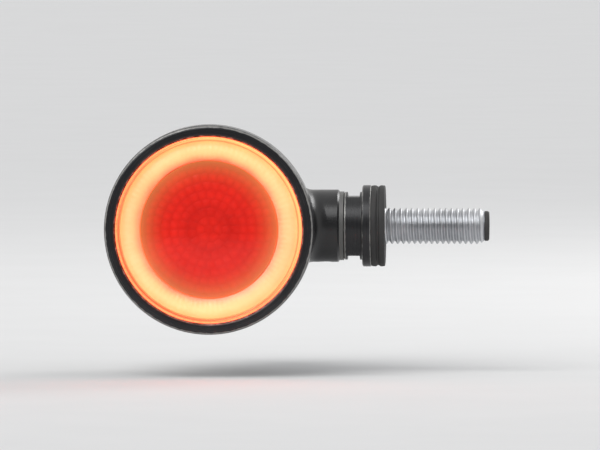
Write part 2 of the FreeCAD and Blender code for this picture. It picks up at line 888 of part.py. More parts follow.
# ---------------------------------------------------------------- the head: driver


def make_board_posts():
    """Three posts that carry the driver board off the heat sink."""
    body = new_body("board_posts", many=True)
    thread = S.m2_radius + S.fit_gap
    thread_floor = S.driver_behind - (S.driver_screw_length - S.driver_thick + S.thread_run_out)
    post = turned(
        body,
        "post",
        [
            (0, ledge - S.post_stub),
            (S.m2_radius, ledge - S.post_stub),
            (S.m2_radius, ledge),
            (S.post_radius, ledge),
            (S.post_radius, S.driver_behind),
            (thread, S.driver_behind),
            (thread, thread_floor),
            (0, thread_floor),
        ],
        offset=on_circle(S.post_circle, 1, 6),
    )
    around(body, "posts", [post], SCREW_COUNT)


def make_driver_board():
    """Round board behind the swivel, around the heat sink's rod."""
    body = new_body("driver_board")
    outer = shell_at(driver_back, S.shell_wall) - S.driver_margin
    turned(body, "plate", disc(S.driver_behind, S.driver_thick, outer, S.rod_radius + S.rod_gap))
    x, z = on_circle(S.post_circle, 1, 6)
    length = S.driver_thick + 2 * OVERRUN
    start = (x, S.driver_behind - OVERRUN, z)
    way = hole(body, "screw_way", S.m2_radius + S.loose_gap, length, start, "+Y")
    around(body, "screw_ways", [way], SCREW_COUNT)


def make_driver_screws():
    """Three screws that hold the driver board on its posts."""
    body = new_body("driver_screws", many=True)
    x, z = on_circle(S.post_circle, 1, 6)
    features = pan_screw(body, driver_back, S.driver_screw_length, x, z, -1)
    around(body, "screws", features, SCREW_COUNT)


def make_driver_parts():
    """Capacitor, inductor and chips on the back of the driver board."""
    capacitor = new_body("capacitor")
    x, z = on_circle(S.part_circle, 4, 6)
    cylinder(capacitor, "can", S.capacitor_radius, S.capacitor_height, (x, driver_back, z), "+Y")
    inductor = new_body("inductor")
    x, z = on_circle(S.part_circle, 2, 6)
    cylinder(inductor, "drum", S.inductor_radius, S.inductor_height, (x, driver_back, z), "+Y")
    chips = new_body("driver_chips", many=True)
    half = S.chip_side / 2
    near = S.rod_radius + S.rod_gap + S.chip_margin + half
    for name, x, z in (
        ("regulator", S.part_circle + half, 0),
        ("upper_chip", half, near),
        ("lower_chip", half, -near),
    ):
        low = (x - half, driver_back, z - half)
        block(chips, name, (S.chip_side, S.chip_height, S.chip_side), low)


def make_terminal_block():
    """Three-way block on the front of the driver board, where the cable's wires plug in."""
    body = new_body("terminal_block")
    start_x = S.rod_radius + S.rod_gap
    front = S.driver_behind - S.terminal_tall
    block(
        body,
        "block",
        (S.terminal_long, S.terminal_tall, S.terminal_wide),
        (start_x, front, -S.terminal_wide / 2),
    )
    for step in (-1, 0, 1):
        low = (
            start_x + S.terminal_long / 2,
            front + S.terminal_tall / 2 - S.terminal_way / 2,
            step * S.terminal_pitch - S.terminal_way / 2,
        )
        way = (S.terminal_long, S.terminal_way, S.terminal_way)
        block(body, f"way_{step + 2}", way, low, kind="Subtractive")


# ---------------------------------------------------------------- the head: small casing pieces


def make_tail_screw():
    """Socket-head screw that pulls the module into the housing."""
    body = new_body("tail_screw")
    under = seat + S.tail_washer
    top = under + S.tail_head_height
    turned(
        body,
        "screw",
        [
            (0, under - S.tail_screw_length),
            (S.tail_screw_radius - S.small_edge, under - S.tail_screw_length),
            (S.tail_screw_radius, under - S.tail_screw_length + S.small_edge),
            (S.tail_screw_radius, under),
            (S.tail_head_radius, under),
            (S.tail_head_radius, top - S.small_edge),
            (S.tail_head_radius - S.small_edge, top),
            (0, top),
        ],
    )
    key_socket(body, "socket", S.tail_key, S.tail_head_height / 2, (0, top, 0), "-Y")


def make_tail_washer():
    """Sealing washer under the tail screw's head."""
    body = new_body("tail_washer")
    turned(
        body,
        "washer",
        disc(seat, S.tail_washer, S.tail_head_radius, S.tail_screw_radius + S.loose_gap),
    )


def make_vent_plug():
    """Breathable plug that lets the sealed housing breathe."""
    body = new_body("vent_plug")
    depth = vent_floor()
    cylinder(body, "head", S.vent_radius, S.vent_thick, (0, S.vent_behind, -depth), "-Z")
    wall = depth - shell_at(S.vent_behind + S.vent_radius, S.shell_wall)
    cylinder(body, "stem", S.vent_stem, wall, (0, S.vent_behind, -depth), "+Z")


def make_bushes():
    """Plain bush at the inner end of the neck and flanged bush at its mouth."""
    body = new_body("neck_bushes", many=True)
    inner = S.journal_radius + S.run_gap
    inner_end = seal_at - groove_half - S.bush_margin
    turned(
        body,
        "inner_bush",
        [(neck_start, inner), (neck_start, bush_outer), (inner_end, bush_outer), (inner_end, inner)],
        about="H_Axis",
    )
    sleeve = neck_end - S.outer_bush_length
    face = neck_end + S.bush_flange
    turned(
        body,
        "outer_bush",
        [
            (sleeve, inner),
            (sleeve, bush_outer),
            (neck_end, bush_outer),
            (neck_end, S.bush_flange_radius),
            (face, S.bush_flange_radius),
            (face, inner),
        ],
        about="H_Axis",
    )


def make_clamp_screw():
    """Dog-point set screw: its dog runs in the post's slot, keeps the head on and stops its swing."""
    body = new_body("clamp_screw")
    top = S.neck_radius - S.stop_sink
    thread = top - neck_bore
    cylinder(body, "thread", S.stop_radius, thread, (stop_at, 0, -top), "+Z")
    length = top - slot_floor - S.loose_gap
    cylinder(body, "dog", S.dog_radius, length, (stop_at, 0, -top), "+Z")
    key_socket(body, "key", S.stop_radius, thread / 2, (stop_at, 0, -top), "+Z")


# ---------------------------------------------------------------- the stem


def make_post():
    """Hollow journal, collar with spanner flats, and foot."""
    body = new_body("swivel_post")
    edge = S.small_edge
    turned(
        body,
        "post",
        [
            (neck_start, S.cable_radius),
            (neck_start, S.journal_radius - edge),
            (neck_start + edge, S.journal_radius),
            (collar_start, S.journal_radius),
            (collar_start, S.collar_radius - edge),
            (collar_start + edge, S.collar_radius),
            (foot_start, S.collar_radius),
            (foot_start, S.foot_radius - edge),
            (foot_start + edge, S.foot_radius),
            (post_end, S.foot_radius),
            (post_end, S.cable_radius),
        ],
        about="H_Axis",
    )
    turned(
        body,
        "seal_groove",
        [
            (seal_at - groove_half, seal_floor),
            (seal_at - groove_half, S.journal_radius + OVERRUN),
            (seal_at + groove_half, S.journal_radius + OVERRUN),
            (seal_at + groove_half, seal_floor),
        ],
        about="H_Axis",
        kind="Groove",
    )
    make_stop_slot(body)
    deep = S.stud_grip + OVERRUN
    hole(body, "stud_socket", grip_radius + S.fit_gap, deep, (stud_start, 0, 0), "+X")
    out = S.foot_radius
    for name, low_z in (("upper_flat", S.collar_flats / 2), ("lower_flat", -S.collar_flats / 2 - out)):
        low = (collar_start + 2 * edge, -out, low_z)
        block(body, name, (S.collar_length - 2 * edge, 2 * out, out), low, kind="Subtractive")


def make_stop_slot(body):
    """Part-round slot under the journal. Its ends are where the clamp screw's dog stops the head."""
    half = S.dog_radius + S.loose_gap
    swing = 2 * (S.swivel_limit + degrees_of(S.dog_radius / slot_floor) + S.slot_slack)
    sketch = outline_sketch(
        body,
        "stop_slot",
        [
            (stop_at - half, -slot_floor),
            (stop_at + half, -slot_floor),
            (stop_at + half, -S.journal_radius - OVERRUN),
            (stop_at - half, -S.journal_radius - OVERRUN),
        ],
        role="XZ_Plane",
    )
    slot = body.newObject("PartDesign::Groove", "stop_slot")
    slot.Profile = sketch
    slot.ReferenceAxis = (sketch, ["H_Axis"])
    slot.setExpression("Angle", swing.formula)
    slot.Midplane = True


def make_post_seal():
    """O-ring in the journal's groove."""
    ring = doc.addObject("Part::Torus", "post_seal")
    ring.Label = "post_seal"
    ring.setExpression("Radius1", ((neck_bore + seal_floor) / 2).formula)
    ring.setExpression("Radius2", seal_section.formula)
    put(ring, (seal_at - reach, 0, 0), "+X")
    pieces.append(ring)


def make_pad():
    """Rubber pad between the foot and the bracket, with a groove round its edge."""
    body = new_body("isolator_pad")
    outer = S.foot_radius
    inner = S.stud_radius + S.pad_gap
    step = S.pad_thick / 3
    turned(
        body,
        "pad",
        [
            (post_end, inner),
            (post_end, outer),
            (post_end + step, outer),
            (post_end + S.pad_thick / 2, outer - S.small_edge),
            (reach - step, outer),
            (reach, outer),
            (reach, inner),
        ],
        about="H_Axis",
    )


def make_stud():
    """Hollow mounting stud with a thread relief just inside the bracket face. Rings stand for its thread."""
    body = new_body("hollow_stud")
    relief = reach - S.relief_width
    relief_radius = S.stud_radius - S.relief_depth
    radius = S.stud_radius
    lead = S.stud_lead
    turned(
        body,
        "stud",
        [
            (stud_start, S.cable_radius),
            (stud_start, grip_radius - lead / 2),
            (stud_start + lead / 2, grip_radius),
            (relief, grip_radius),
            (relief, relief_radius),
            (reach - S.loose_gap, relief_radius),
            (reach - S.loose_gap, radius),
            (stud_end - lead, radius),
            (stud_end, radius - lead),
            (stud_end, S.cable_radius),
        ],
        about="H_Axis",
    )
    middle = reach + S.thread_start
    flank = S.thread_depth / root(size(3))
    bottom = S.thread_root / 2
    ring = turned(
        body,
        "thread_ring",
        [
            (middle - bottom - flank, radius),
            (middle - bottom, radius - S.thread_depth),
            (middle + bottom, radius - S.thread_depth),
            (middle + bottom + flank, radius),
        ],
        about="H_Axis",
        kind="Groove",
    )
    threaded = S.stud_out - lead - S.thread_start - bottom - flank
    in_row(body, "thread_rings", [ring], S.thread_pitch, whole(threaded / S.thread_pitch) + 1)


def make_grommet():
    """Soft sleeve in the stud's end that grips the cable."""
    body = new_body("cable_grommet")
    start = stud_end - S.grommet_length
    outer = S.cable_radius - S.fit_gap
    turned(
        body,
        "sleeve",
        [
            (start, S.grommet_bore),
            (start, outer),
            (stud_end, outer),
            (stud_end, S.grommet_lip_radius),
            (stud_end + S.grommet_lip, S.grommet_lip_radius),
            (stud_end + S.grommet_lip, S.grommet_bore),
        ],
        about="H_Axis",
    )


# ---------------------------------------------------------------- build, check and write

make_housing()
make_bezel()
make_gasket()
make_lens()
make_light_guide()
make_brake_lens()
make_carrier()
make_cup()
make_collimator()
make_led_board()
make_ring_leds()
make_brake_led()
make_thermal_pad()
make_heat_sink()
make_module_screws()
make_board_posts()
make_driver_board()
make_driver_screws()
make_driver_parts()
make_terminal_block()
make_tail_screw()
make_tail_washer()
make_vent_plug()
make_bushes()
make_clamp_screw()
make_post()
make_post_seal()
make_pad()
make_stud()
make_grommet()
doc.recompute()

SOLIDS = {
    "ring_leds": int(S.led_count.value),
    "module_screws": SCREW_COUNT,
    "board_posts": SCREW_COUNT,
    "driver_screws": SCREW_COUNT,
    "driver_chips": 3,
    "neck_bushes": 2,
}
problems = [
    f"{thing.Name}: {thing.State}"
    for thing in doc.Objects
    if "Invalid" in thing.State or "Error" in thing.State
]
for piece in pieces:
    shape = piece.Shape
    if shape.isNull() or not shape.isValid():
        problems.append(f"{piece.Label}: its shape is null or not valid")
    elif len(shape.Solids) != SOLIDS.get(piece.Label, 1):
        problems.append(f"{piece.Label}: {len(shape.Solids)} solids")
if problems:
    raise RuntimeError("; ".join(problems))

os.makedirs("parts", exist_ok=True)
for piece in pieces:
    piece.Shape.exportStep(f"parts/{piece.Label}.step")
    print(f"{piece.Label:16s} {len(piece.Shape.Solids):3d} {piece.Shape.Volume:10.1f} mm3")
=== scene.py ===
# %% [markdown]
# # A small round tail light, finished for the camera
# The real object is a bullet-shaped motorcycle light about the size of a hen's egg. A glowing ring runs
# round a red middle, both behind a clear dome, and the head swivels on a hollow post that bolts to a
# bracket. The solids were made elsewhere to exact sizes. This lesson keeps them where they are, gives every
# one a finish, and re-makes the pieces people look at closely, so that edges are rounded and threads are
# real. One file of cells is used rather than a saved scene, so that each step can be read and changed alone.
# %% Load the solids and note the box that they fill
import bpy
import json
import math
import numpy as np
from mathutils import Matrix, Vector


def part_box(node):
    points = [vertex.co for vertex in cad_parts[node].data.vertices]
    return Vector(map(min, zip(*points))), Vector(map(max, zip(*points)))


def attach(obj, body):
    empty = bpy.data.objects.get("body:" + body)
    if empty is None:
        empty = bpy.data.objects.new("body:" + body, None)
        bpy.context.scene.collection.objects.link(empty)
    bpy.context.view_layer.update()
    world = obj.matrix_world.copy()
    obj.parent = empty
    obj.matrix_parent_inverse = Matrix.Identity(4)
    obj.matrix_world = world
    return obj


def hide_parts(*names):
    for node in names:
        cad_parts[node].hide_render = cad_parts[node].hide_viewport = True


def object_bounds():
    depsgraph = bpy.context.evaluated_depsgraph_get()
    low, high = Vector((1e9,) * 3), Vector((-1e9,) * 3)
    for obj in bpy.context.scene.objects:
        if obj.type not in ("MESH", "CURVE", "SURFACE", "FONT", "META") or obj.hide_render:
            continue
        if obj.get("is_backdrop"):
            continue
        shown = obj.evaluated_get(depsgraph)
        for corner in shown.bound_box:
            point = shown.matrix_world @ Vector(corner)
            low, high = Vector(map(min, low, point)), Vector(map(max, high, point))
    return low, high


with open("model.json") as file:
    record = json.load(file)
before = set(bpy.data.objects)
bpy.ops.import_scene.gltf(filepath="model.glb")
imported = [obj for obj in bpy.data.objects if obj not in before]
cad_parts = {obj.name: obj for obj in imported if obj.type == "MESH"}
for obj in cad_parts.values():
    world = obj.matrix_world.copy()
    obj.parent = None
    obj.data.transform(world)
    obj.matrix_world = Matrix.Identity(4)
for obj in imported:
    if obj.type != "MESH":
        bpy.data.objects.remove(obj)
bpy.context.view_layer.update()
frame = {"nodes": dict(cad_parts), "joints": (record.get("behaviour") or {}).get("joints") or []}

# %% [markdown]
# Two straight lines carry the whole design. The lamp axis runs fore and aft through the middle of the
# lens, and the swivel axis runs sideways through the post and the stud. The lamp axis could be typed in
# as a number, but reading it from the joint keeps every new piece on the solids if they ever change.
# %% Find the two axes
MM = 0.001
swivel = frame["joints"][0]
lamp_x = swivel["pos_m"][0]
dome_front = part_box("outer_lens")[0][1]
print(f"lamp axis at x = {lamp_x / MM:.1f} mm, front of the dome at y = {dome_front / MM:.1f} mm")

# %% [markdown]
# Nearly every visible part of this light is turned on a lathe, and no turned edge is perfectly sharp: a
# thin line of light runs along it. Such an edge could come from a bevel modifier, but then the width
# follows the mesh. Here each corner of the outline has its own radius, so a file-broken edge and a soft
# moulded one can sit on the same piece. Two extra points beside each arc keep the flats looking flat.
# %% Draw an outline with rounded corners
ARC_STEPS = 7
SMALLEST_BEND = 0.01
LEAD = 0.3


def outline(corners, loop=True):
    """Points of an outline from corners (along, radius, rounding), in millimetres.

    Each corner is cut back along both of its sides by rounding / tan(half its angle), and the gap is
    closed with a true arc: a rational quadratic curve whose middle weight is sin(half the angle).
    When loop is False the first and the last corner stay as single points."""
    table = np.array(corners, float)
    point, bend = table[:, :2], np.maximum(table[:, 2], SMALLEST_BEND)
    before, after = np.roll(point, 1, 0) - point, np.roll(point, -1, 0) - point
    before /= np.maximum(np.linalg.norm(before, axis=1), 1e-9)[:, None]
    after /= np.maximum(np.linalg.norm(after, axis=1), 1e-9)[:, None]
    half = np.arccos(np.clip((before * after).sum(1), -1, 1)) / 2
    cut = (bend / np.tan(np.maximum(half, 1e-3)))[:, None]
    start, middle, end = (point + before * cut)[:, None], point[:, None], (point + after * cut)[:, None]
    step = np.linspace(0, 1, ARC_STEPS)[None, :, None]
    first, second, third = (1 - step) ** 2, 2 * step * (1 - step) * np.sin(half)[:, None, None], step**2
    arc = (first * start + second * middle + third * end) / (first + second + third)
    lead, tail = (before * bend[:, None] * LEAD)[:, None], (after * bend[:, None] * LEAD)[:, None]
    row = np.concatenate([start + lead, arc, end + tail], axis=1)
    if loop:
        return row.reshape(-1, 2)
    return np.concatenate([point[:1], row[1:-1].reshape(-1, 2), point[-1:]])


print("points per corner:", ARC_STEPS + 2)

# %% [markdown]
# A turned piece is that outline carried round its axis. Blender can do this with the Screw modifier, but
# a plain grid of numbers is easier to change afterwards: a flat, a hexagon or a thread is then only a rule
# for the radius at each angle.
# %% Carry an outline round an axis
def spin(profile, count):
    """Three arrays for a turned piece: place along the axis, radius, and angle, each rows by count."""
    angle = np.linspace(0, 2 * math.pi, count, endpoint=False)
    along = np.repeat(profile[:, :1], count, axis=1)
    radius = np.repeat(profile[:, 1:], count, axis=1)
    return along, radius, np.repeat(angle[None], len(profile), axis=0)


def on_lamp(along, radius, angle):
    """Points about the lamp axis: sideways = radius * cos, forward and back = along, up = radius * sin."""
    return np.stack([lamp_x / MM + radius * np.cos(angle), along, radius * np.sin(angle)], -1)


def on_post(along, radius, angle):
    """Points about the swivel axis: sideways = along, back = radius * cos, up = radius * sin."""
    return np.stack([along, radius * np.cos(angle), radius * np.sin(angle)], -1)


print("helpers: spin, on_lamp, on_post")

# %% [markdown]
# The grid becomes a closed skin in one of two ways: running round in both directions, like a bracelet, or
# with a fan of triangles on the axis at each end, like a bottle. A skin can come out inside out, and then
# its volume, the sum of corner . (corner x corner) over its triangles, is below zero and all faces turn.
# %% Close a grid of points into a mesh
SHARP = math.radians(40)


def skin(name, points, loop=True):
    """Mesh object from rows of points in millimetres; columns run round, and rows too when loop is True."""
    rows, count = points.shape[:2]
    here = np.arange(count)
    side = np.roll(here, -1)
    if loop:
        flat = points.reshape(-1, 3)
        row = np.arange(rows)[:, None] * count
        ahead = np.roll(row, -1, axis=0)
        fans = np.zeros((0, 3), int)
    else:
        flat = np.concatenate([points[0, :1], points[1:-1].reshape(-1, 3), points[-1, :1]])
        row = 1 + np.arange(rows - 3)[:, None] * count
        ahead = row + count
        last = len(flat) - 1
        low = np.stack([0 * here, 1 + here, 1 + side], -1)
        high = np.stack([0 * here + last, last - count + side, last - count + here], -1)
        fans = np.concatenate([low, high])
    quads = np.stack([row + here, ahead + here, ahead + side, row + side], -1).reshape(-1, 4)
    corner = flat[np.concatenate([quads[:, [0, 1, 2]], quads[:, [0, 2, 3]], fans])]
    if (corner[:, 0] * np.cross(corner[:, 1], corner[:, 2])).sum() < 0:
        quads, fans = quads[:, ::-1], fans[:, ::-1]
    mesh = bpy.data.meshes.new(name)
    mesh.from_pydata((flat * MM).tolist(), [], quads.tolist() + fans.tolist())
    mesh.shade_smooth()
    mesh.set_sharp_from_angle(angle=SHARP)
    piece = bpy.data.objects.new(name, mesh)
    bpy.context.collection.objects.link(piece)
    return piece


print("helper: skin, with edges sharp from", round(math.degrees(SHARP)), "degrees")

# %% [markdown]
# Finishes are built from nodes, and the same few moves come again and again: add a node and fill its
# sockets, do one sum, and stretch a value between two limits. Each gets a short helper here, because a
# node tree written out in full hides what it is for.
# %% Helpers for nodes
FLOAT, VECTOR = "NodeSocketFloat", "NodeSocketVector"


def new_group(name, inputs, outputs):
    """Node group with named inputs (kind, start value) and outputs, and its two end nodes."""
    group = bpy.data.node_groups.new(name, "ShaderNodeTree")
    for label, (kind, value) in inputs.items():
        socket = group.interface.new_socket(label, in_out="INPUT", socket_type=kind)
        if value is not None:
            socket.default_value = value
    for label in outputs:
        group.interface.new_socket(label, in_out="OUTPUT", socket_type=FLOAT)
    return group, group.nodes.new("NodeGroupInput").outputs, group.nodes.new("NodeGroupOutput").inputs


def put(tree, kind, links=(), **settings):
    """New node in tree; settings are its properties, and links fills its inputs with sockets or values."""
    node = tree.nodes.new(kind)
    for label, value in settings.items():
        setattr(node, label, value)
    for label, value in dict(links).items():
        if isinstance(value, bpy.types.NodeSocket):
            tree.links.new(value, node.inputs[label])
        else:
            node.inputs[label].default_value = value
    return node


def calc(tree, operation, *values):
    """Output of a Math node on up to three sockets or numbers."""
    return put(tree, "ShaderNodeMath", dict(enumerate(values)), operation=operation).outputs[0]


def length_of(tree, one, other):
    """Output with the square root of (one squared + other squared)."""
    squares = [calc(tree, "MULTIPLY", value, value) for value in (one, other)]
    return calc(tree, "SQRT", calc(tree, "ADD", *squares))


def split(tree, place):
    """The three outputs that a place is split into: x, y and z."""
    return put(tree, "ShaderNodeSeparateXYZ", {0: place}).outputs


def stretch(tree, value, low, high, to_low=0.0, to_high=1.0):
    """Output that runs smoothly from to_low to to_high while value goes from low to high, and no further."""
    links = {"Value": value, "From Min": low, "From Max": high, "To Min": to_low, "To Max": to_high}
    return put(tree, "ShaderNodeMapRange", links, interpolation_type="SMOOTHSTEP").outputs["Result"]


def noise(tree, place, scale, detail):
    """Output of a noise texture: scale is how many of its waves fit one unit of place."""
    return put(tree, "ShaderNodeTexNoise", {"Vector": place, "Scale": scale, "Detail": detail}).outputs["Fac"]


print("helpers: new_group, put, calc, length_of, split, stretch, noise")

# %% [markdown]
# Every effect that more than one finish needs is a node group, built once. The first is surface grain:
# powder coat, moulded plastic and rubber all have a fine pebbling with slower patches over it. It could be
# a picture, but noise from the object's own coordinates has no seams and keeps its size in millimetres.
# %% Build the grain group
grain, told, give = new_group(
    "grain", {"Place": (VECTOR, None), "Fine": (FLOAT, 4.0), "Broad": (FLOAT, 0.1)}, ["Height", "Patches"]
)
broad = noise(grain, told["Place"], told["Broad"], 3.0)
grain.links.new(noise(grain, told["Place"], told["Fine"], 2.0), give["Height"])
grain.links.new(stretch(grain, broad, 0.35, 0.65), give["Patches"])
print("group:", grain.name, [s.name for s in grain.interface.items_tree])

# %% [markdown]
# A lathe leaves fine rings round the axis of the piece. They depend only on the distance from the axis and
# the place along it, so noise read at those two numbers makes rings on any turned part, once its
# coordinates have been turned until the axis is upright.
# %% Build the group for lathe rings
lathe, told, give = new_group(
    "lathe_rings", {"Place": (VECTOR, None), "Lines": (FLOAT, 8.0)}, ["Height", "Tone"]
)
x, y, z = split(lathe, told["Place"])
ring_place = put(lathe, "ShaderNodeCombineXYZ", {0: length_of(lathe, x, y), 1: z}).outputs[0]
rings = noise(lathe, ring_place, told["Lines"], 1.0)
lathe.links.new(rings, give["Height"])
lathe.links.new(stretch(lathe, rings, 0.3, 0.7), give["Tone"])
print("group:", lathe.name)

# %% [markdown]
# Handling rubs the outer edges of a turned part bright, and the same pale band stands in for the highlight
# that a rounded edge catches, so it is partly worn metal and partly a painted highlight. An edge is a circle,
# given by its radius and its place along the axis, so the band is 1 - (distance to that circle / width),
# broken up by noise. The band could follow the mesh's own sharpness, but a circle is exact and costs nothing.
# %% Build the group for rubbed edges
rub_shine_group, told, give = new_group(
    "rubbed_shining_edge",
    {"Place": (VECTOR, None), "Radius": (FLOAT, 20.0), "Along": (FLOAT, 0.0), "Width": (FLOAT, 0.4)},
    ["Wear"],
)
x, y, z = split(rub_shine_group, told["Place"])
across = calc(rub_shine_group, "SUBTRACT", length_of(rub_shine_group, x, y), told["Radius"])
beside = calc(rub_shine_group, "SUBTRACT", z, told["Along"])
near = calc(rub_shine_group, "SUBTRACT", 1.0, calc(rub_shine_group, "DIVIDE", length_of(rub_shine_group, across, beside), told["Width"]))
break_up = calc(rub_shine_group, "SUBTRACT", noise(rub_shine_group, told["Place"], 0.9, 4.0), 0.5)
rub_shine_group.links.new(stretch(rub_shine_group, calc(rub_shine_group, "ADD", near, break_up), 0.25, 0.75), give["Wear"])
print("group:", rub_shine_group.name)

# %% [markdown]
# Each finish is a Principled surface fed by these groups. The coordinates are the object's own, scaled to
# millimetres and centred on the axis the piece was made about, so a ring pattern really follows the rings.
# Writing twenty-five node trees by hand would hide what differs, so one maker builds the common part and
# each finish then gives only its colours, how rough it is, and how deep its grain lies.
# %% A maker for finishes
UPRIGHT = {"lamp": (math.pi / 2, 0, 0), "post": (0, -math.pi / 2, 0)}
MOST_RUB_AND_SHINE, RUB_AND_SHINE_TONE = 0.55, (0.45, 0.44, 0.42)
finishes = {}


def place_on(tree, about):
    """Output with the object's coordinates in millimetres, turned so that the named axis is upright."""
    links = {
        "Vector": put(tree, "ShaderNodeTexCoord").outputs["Object"],
        "Location": (0, 0, 0) if about == "post" else (-lamp_x / MM, 0, 0),
        "Rotation": UPRIGHT[about],
        "Scale": (1 / MM,) * 3,
    }
    return put(tree, "ShaderNodeMapping", links).outputs[0]


def mix_colour(tree, share, first, second):
    """Output between two colours; each is three numbers or a socket."""
    four = [(*c, 1.0) if isinstance(c, tuple) else c for c in (first, second)]
    return put(tree, "ShaderNodeMix", {0: share, 6: four[0], 7: four[1]}, data_type="RGBA").outputs[2]


def use(tree, group, **values):
    """Outputs of a node group placed in a tree, with its inputs filled."""
    return put(tree, "ShaderNodeGroup", values, node_tree=group).outputs


def surface(made):
    """The sockets of a material's Principled surface."""
    return made.node_tree.nodes["Principled BSDF"].inputs


def finish(name, light, dark, rough, bump, fine=4.0, about="lamp", lines=0.0, edges=(), **plain):
    """Material from two tones, a range of roughness (low, high) and a grain of height bump in mm.

    fine is how many waves of the grain fit a millimetre. lines above 0 swaps the grain for lathe rings,
    that many to the millimetre. edges lists circles (radius, place along) that are made bright, partly as
    rubbed wear and partly as a painted highlight. plain is set on the shader's own sockets."""
    made = bpy.data.materials.new(name)
    made.use_nodes = True
    tree, sockets = made.node_tree, surface(made)
    for label, value in plain.items():
        sockets[label.replace("_", " ")].default_value = value
    place = place_on(tree, about)
    base = use(tree, grain, Place=place, Fine=fine)
    tone, height = base["Patches"], base["Height"]
    if lines:
        turned = use(tree, lathe, Place=place, Lines=lines)
        tone = calc(tree, "MULTIPLY_ADD", turned["Tone"], 0.6, calc(tree, "MULTIPLY", tone, 0.4))
        height = turned["Height"]
    colour = mix_colour(tree, tone, dark, light)
    # Painted highlight and wear: each listed edge circle gets a pale band mixed into the colour.
    for circle, along in edges:
        rubbed_band = use(tree, rub_shine_group, Place=place, Radius=circle, Along=along)["Wear"]
        colour = mix_colour(tree, calc(tree, "MULTIPLY", rubbed_band, MOST_RUB_AND_SHINE), colour, RUB_AND_SHINE_TONE)
    relief = put(tree, "ShaderNodeBump", {"Height": height, "Strength": 1.0, "Distance": bump * MM})
    tree.links.new(colour, sockets["Base Color"])
    tree.links.new(calc(tree, "MULTIPLY_ADD", tone, rough[1] - rough[0], rough[0]), sockets["Roughness"])
    tree.links.new(relief.outputs[0], sockets["Normal"])
    finishes[name] = made
    return made


print("finish maker ready, most wear on an edge:", MOST_RUB_AND_SHINE)

# %% [markdown]
# The housing is die-cast aluminium under satin black powder coat, which sets with a soft pebbled skin.
# A perfectly black surface hides its own shape, so the coat is a very dark grey and only half glossy.
# The bezel and the post are turned and anodised instead: smoother, with faint rings and bright edges,
# which are partly rubbed metal and partly a painted highlight.
# %% Black coats
bezel_lo, bezel_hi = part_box("bezel_ring")
bezel_out, bezel_front, bezel_back = bezel_hi[2] / MM, bezel_lo[1] / MM, bezel_hi[1] / MM
window = bezel_out - 2.5
journal, collar, hole = 5.0, 7.5, 2.5
collar_at, foot_at = -9.0, -5.0
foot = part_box("swivel_post")[1][2] / MM
finish("housing_coat", (0.020, 0.020, 0.021), (0.012, 0.012, 0.013), (0.25, 0.36), bump=0.009, fine=2.6)
finish(
    "bezel_black", (0.028, 0.028, 0.030), (0.014, 0.014, 0.016), (0.20, 0.32), bump=0.0025, lines=7.0,
    Metallic=0.35, edges=[(bezel_out - 0.3, bezel_front + 0.3), (window + 0.1, bezel_front)],
)
finish(
    "post_black", (0.030, 0.030, 0.032), (0.015, 0.015, 0.017), (0.24, 0.38), bump=0.003, lines=6.0,
    about="post", Metallic=0.35, edges=[(foot, foot_at), (foot, foot_at + 2.0), (collar, collar_at + 0.2)],
)
finish(
    "black_steel", (0.045, 0.044, 0.043), (0.020, 0.020, 0.021), (0.28, 0.42), bump=0.003, lines=5.0,
    Metallic=0.8,
)
print("coats:", ", ".join(finishes))

# %% [markdown]
# Rubber is matt, slightly grey where it has been handled, and has the bloom of its mould on it. Moulded
# plastics are smoother and keep a little shine. Both could share one colour, but real ones never do.
# %% Rubber and plastics
finish(
    "black_rubber", (0.040, 0.039, 0.038), (0.020, 0.020, 0.020), (0.62, 0.80), bump=0.018, fine=5.0,
    about="post",
)
finish("bush_plastic", (0.16, 0.155, 0.15), (0.11, 0.11, 0.105), (0.40, 0.52), bump=0.006, about="post")
finish("vent_plastic", (0.050, 0.050, 0.052), (0.030, 0.030, 0.031), (0.50, 0.62), bump=0.010)
finish("carrier_plastic", (0.090, 0.088, 0.086), (0.060, 0.060, 0.060), (0.38, 0.50), bump=0.008)
finish("terminal_white", (0.74, 0.73, 0.70), (0.66, 0.65, 0.61), (0.34, 0.46), bump=0.006)
finish("chip_black", (0.036, 0.036, 0.038), (0.022, 0.022, 0.024), (0.48, 0.60), bump=0.008, fine=9.0)
finish("ferrite", (0.090, 0.085, 0.082), (0.055, 0.052, 0.050), (0.55, 0.70), bump=0.012, fine=7.0)
finish("green_board", (0.030, 0.150, 0.060), (0.015, 0.095, 0.036), (0.30, 0.42), bump=0.006, fine=3.0)
finish("white_board", (0.80, 0.80, 0.78), (0.72, 0.72, 0.69), (0.34, 0.44), bump=0.004, fine=3.0)
finish("foil", (0.46, 0.50, 0.54), (0.36, 0.40, 0.44), (0.50, 0.65), bump=0.008, fine=6.0)
print("finishes so far:", len(finishes))

# %% [markdown]
# Bare metals differ by how they were made. The stud is zinc plated over a rolled thread, the heat sink
# is turned aluminium, the dish is vacuum-coated bright, and the small screws are plain steel.
# %% Bare metals
finish(
    "zinc_steel", (0.64, 0.65, 0.67), (0.50, 0.51, 0.53), (0.34, 0.46), bump=0.002, fine=3.0,
    about="post", Metallic=1.0,
)
finish(
    "bare_aluminium", (0.80, 0.81, 0.82), (0.66, 0.67, 0.68), (0.28, 0.42), bump=0.004, lines=6.0,
    Metallic=1.0,
)
finish("small_steel", (0.62, 0.61, 0.60), (0.46, 0.45, 0.44), (0.24, 0.36), bump=0.003, Metallic=1.0)
finish("brass_post", (0.78, 0.58, 0.28), (0.62, 0.44, 0.18), (0.24, 0.38), bump=0.003, Metallic=1.0)
finish("can", (0.74, 0.75, 0.77), (0.58, 0.59, 0.61), (0.20, 0.30), bump=0.002, Metallic=1.0)
finish("bright_cup", (0.90, 0.90, 0.91), (0.82, 0.82, 0.84), (0.06, 0.14), bump=0.002, fine=1.2, Metallic=1.0)
print("bare metals:", ", ".join(n for n in finishes if surface(finishes[n])["Metallic"].default_value == 1.0))

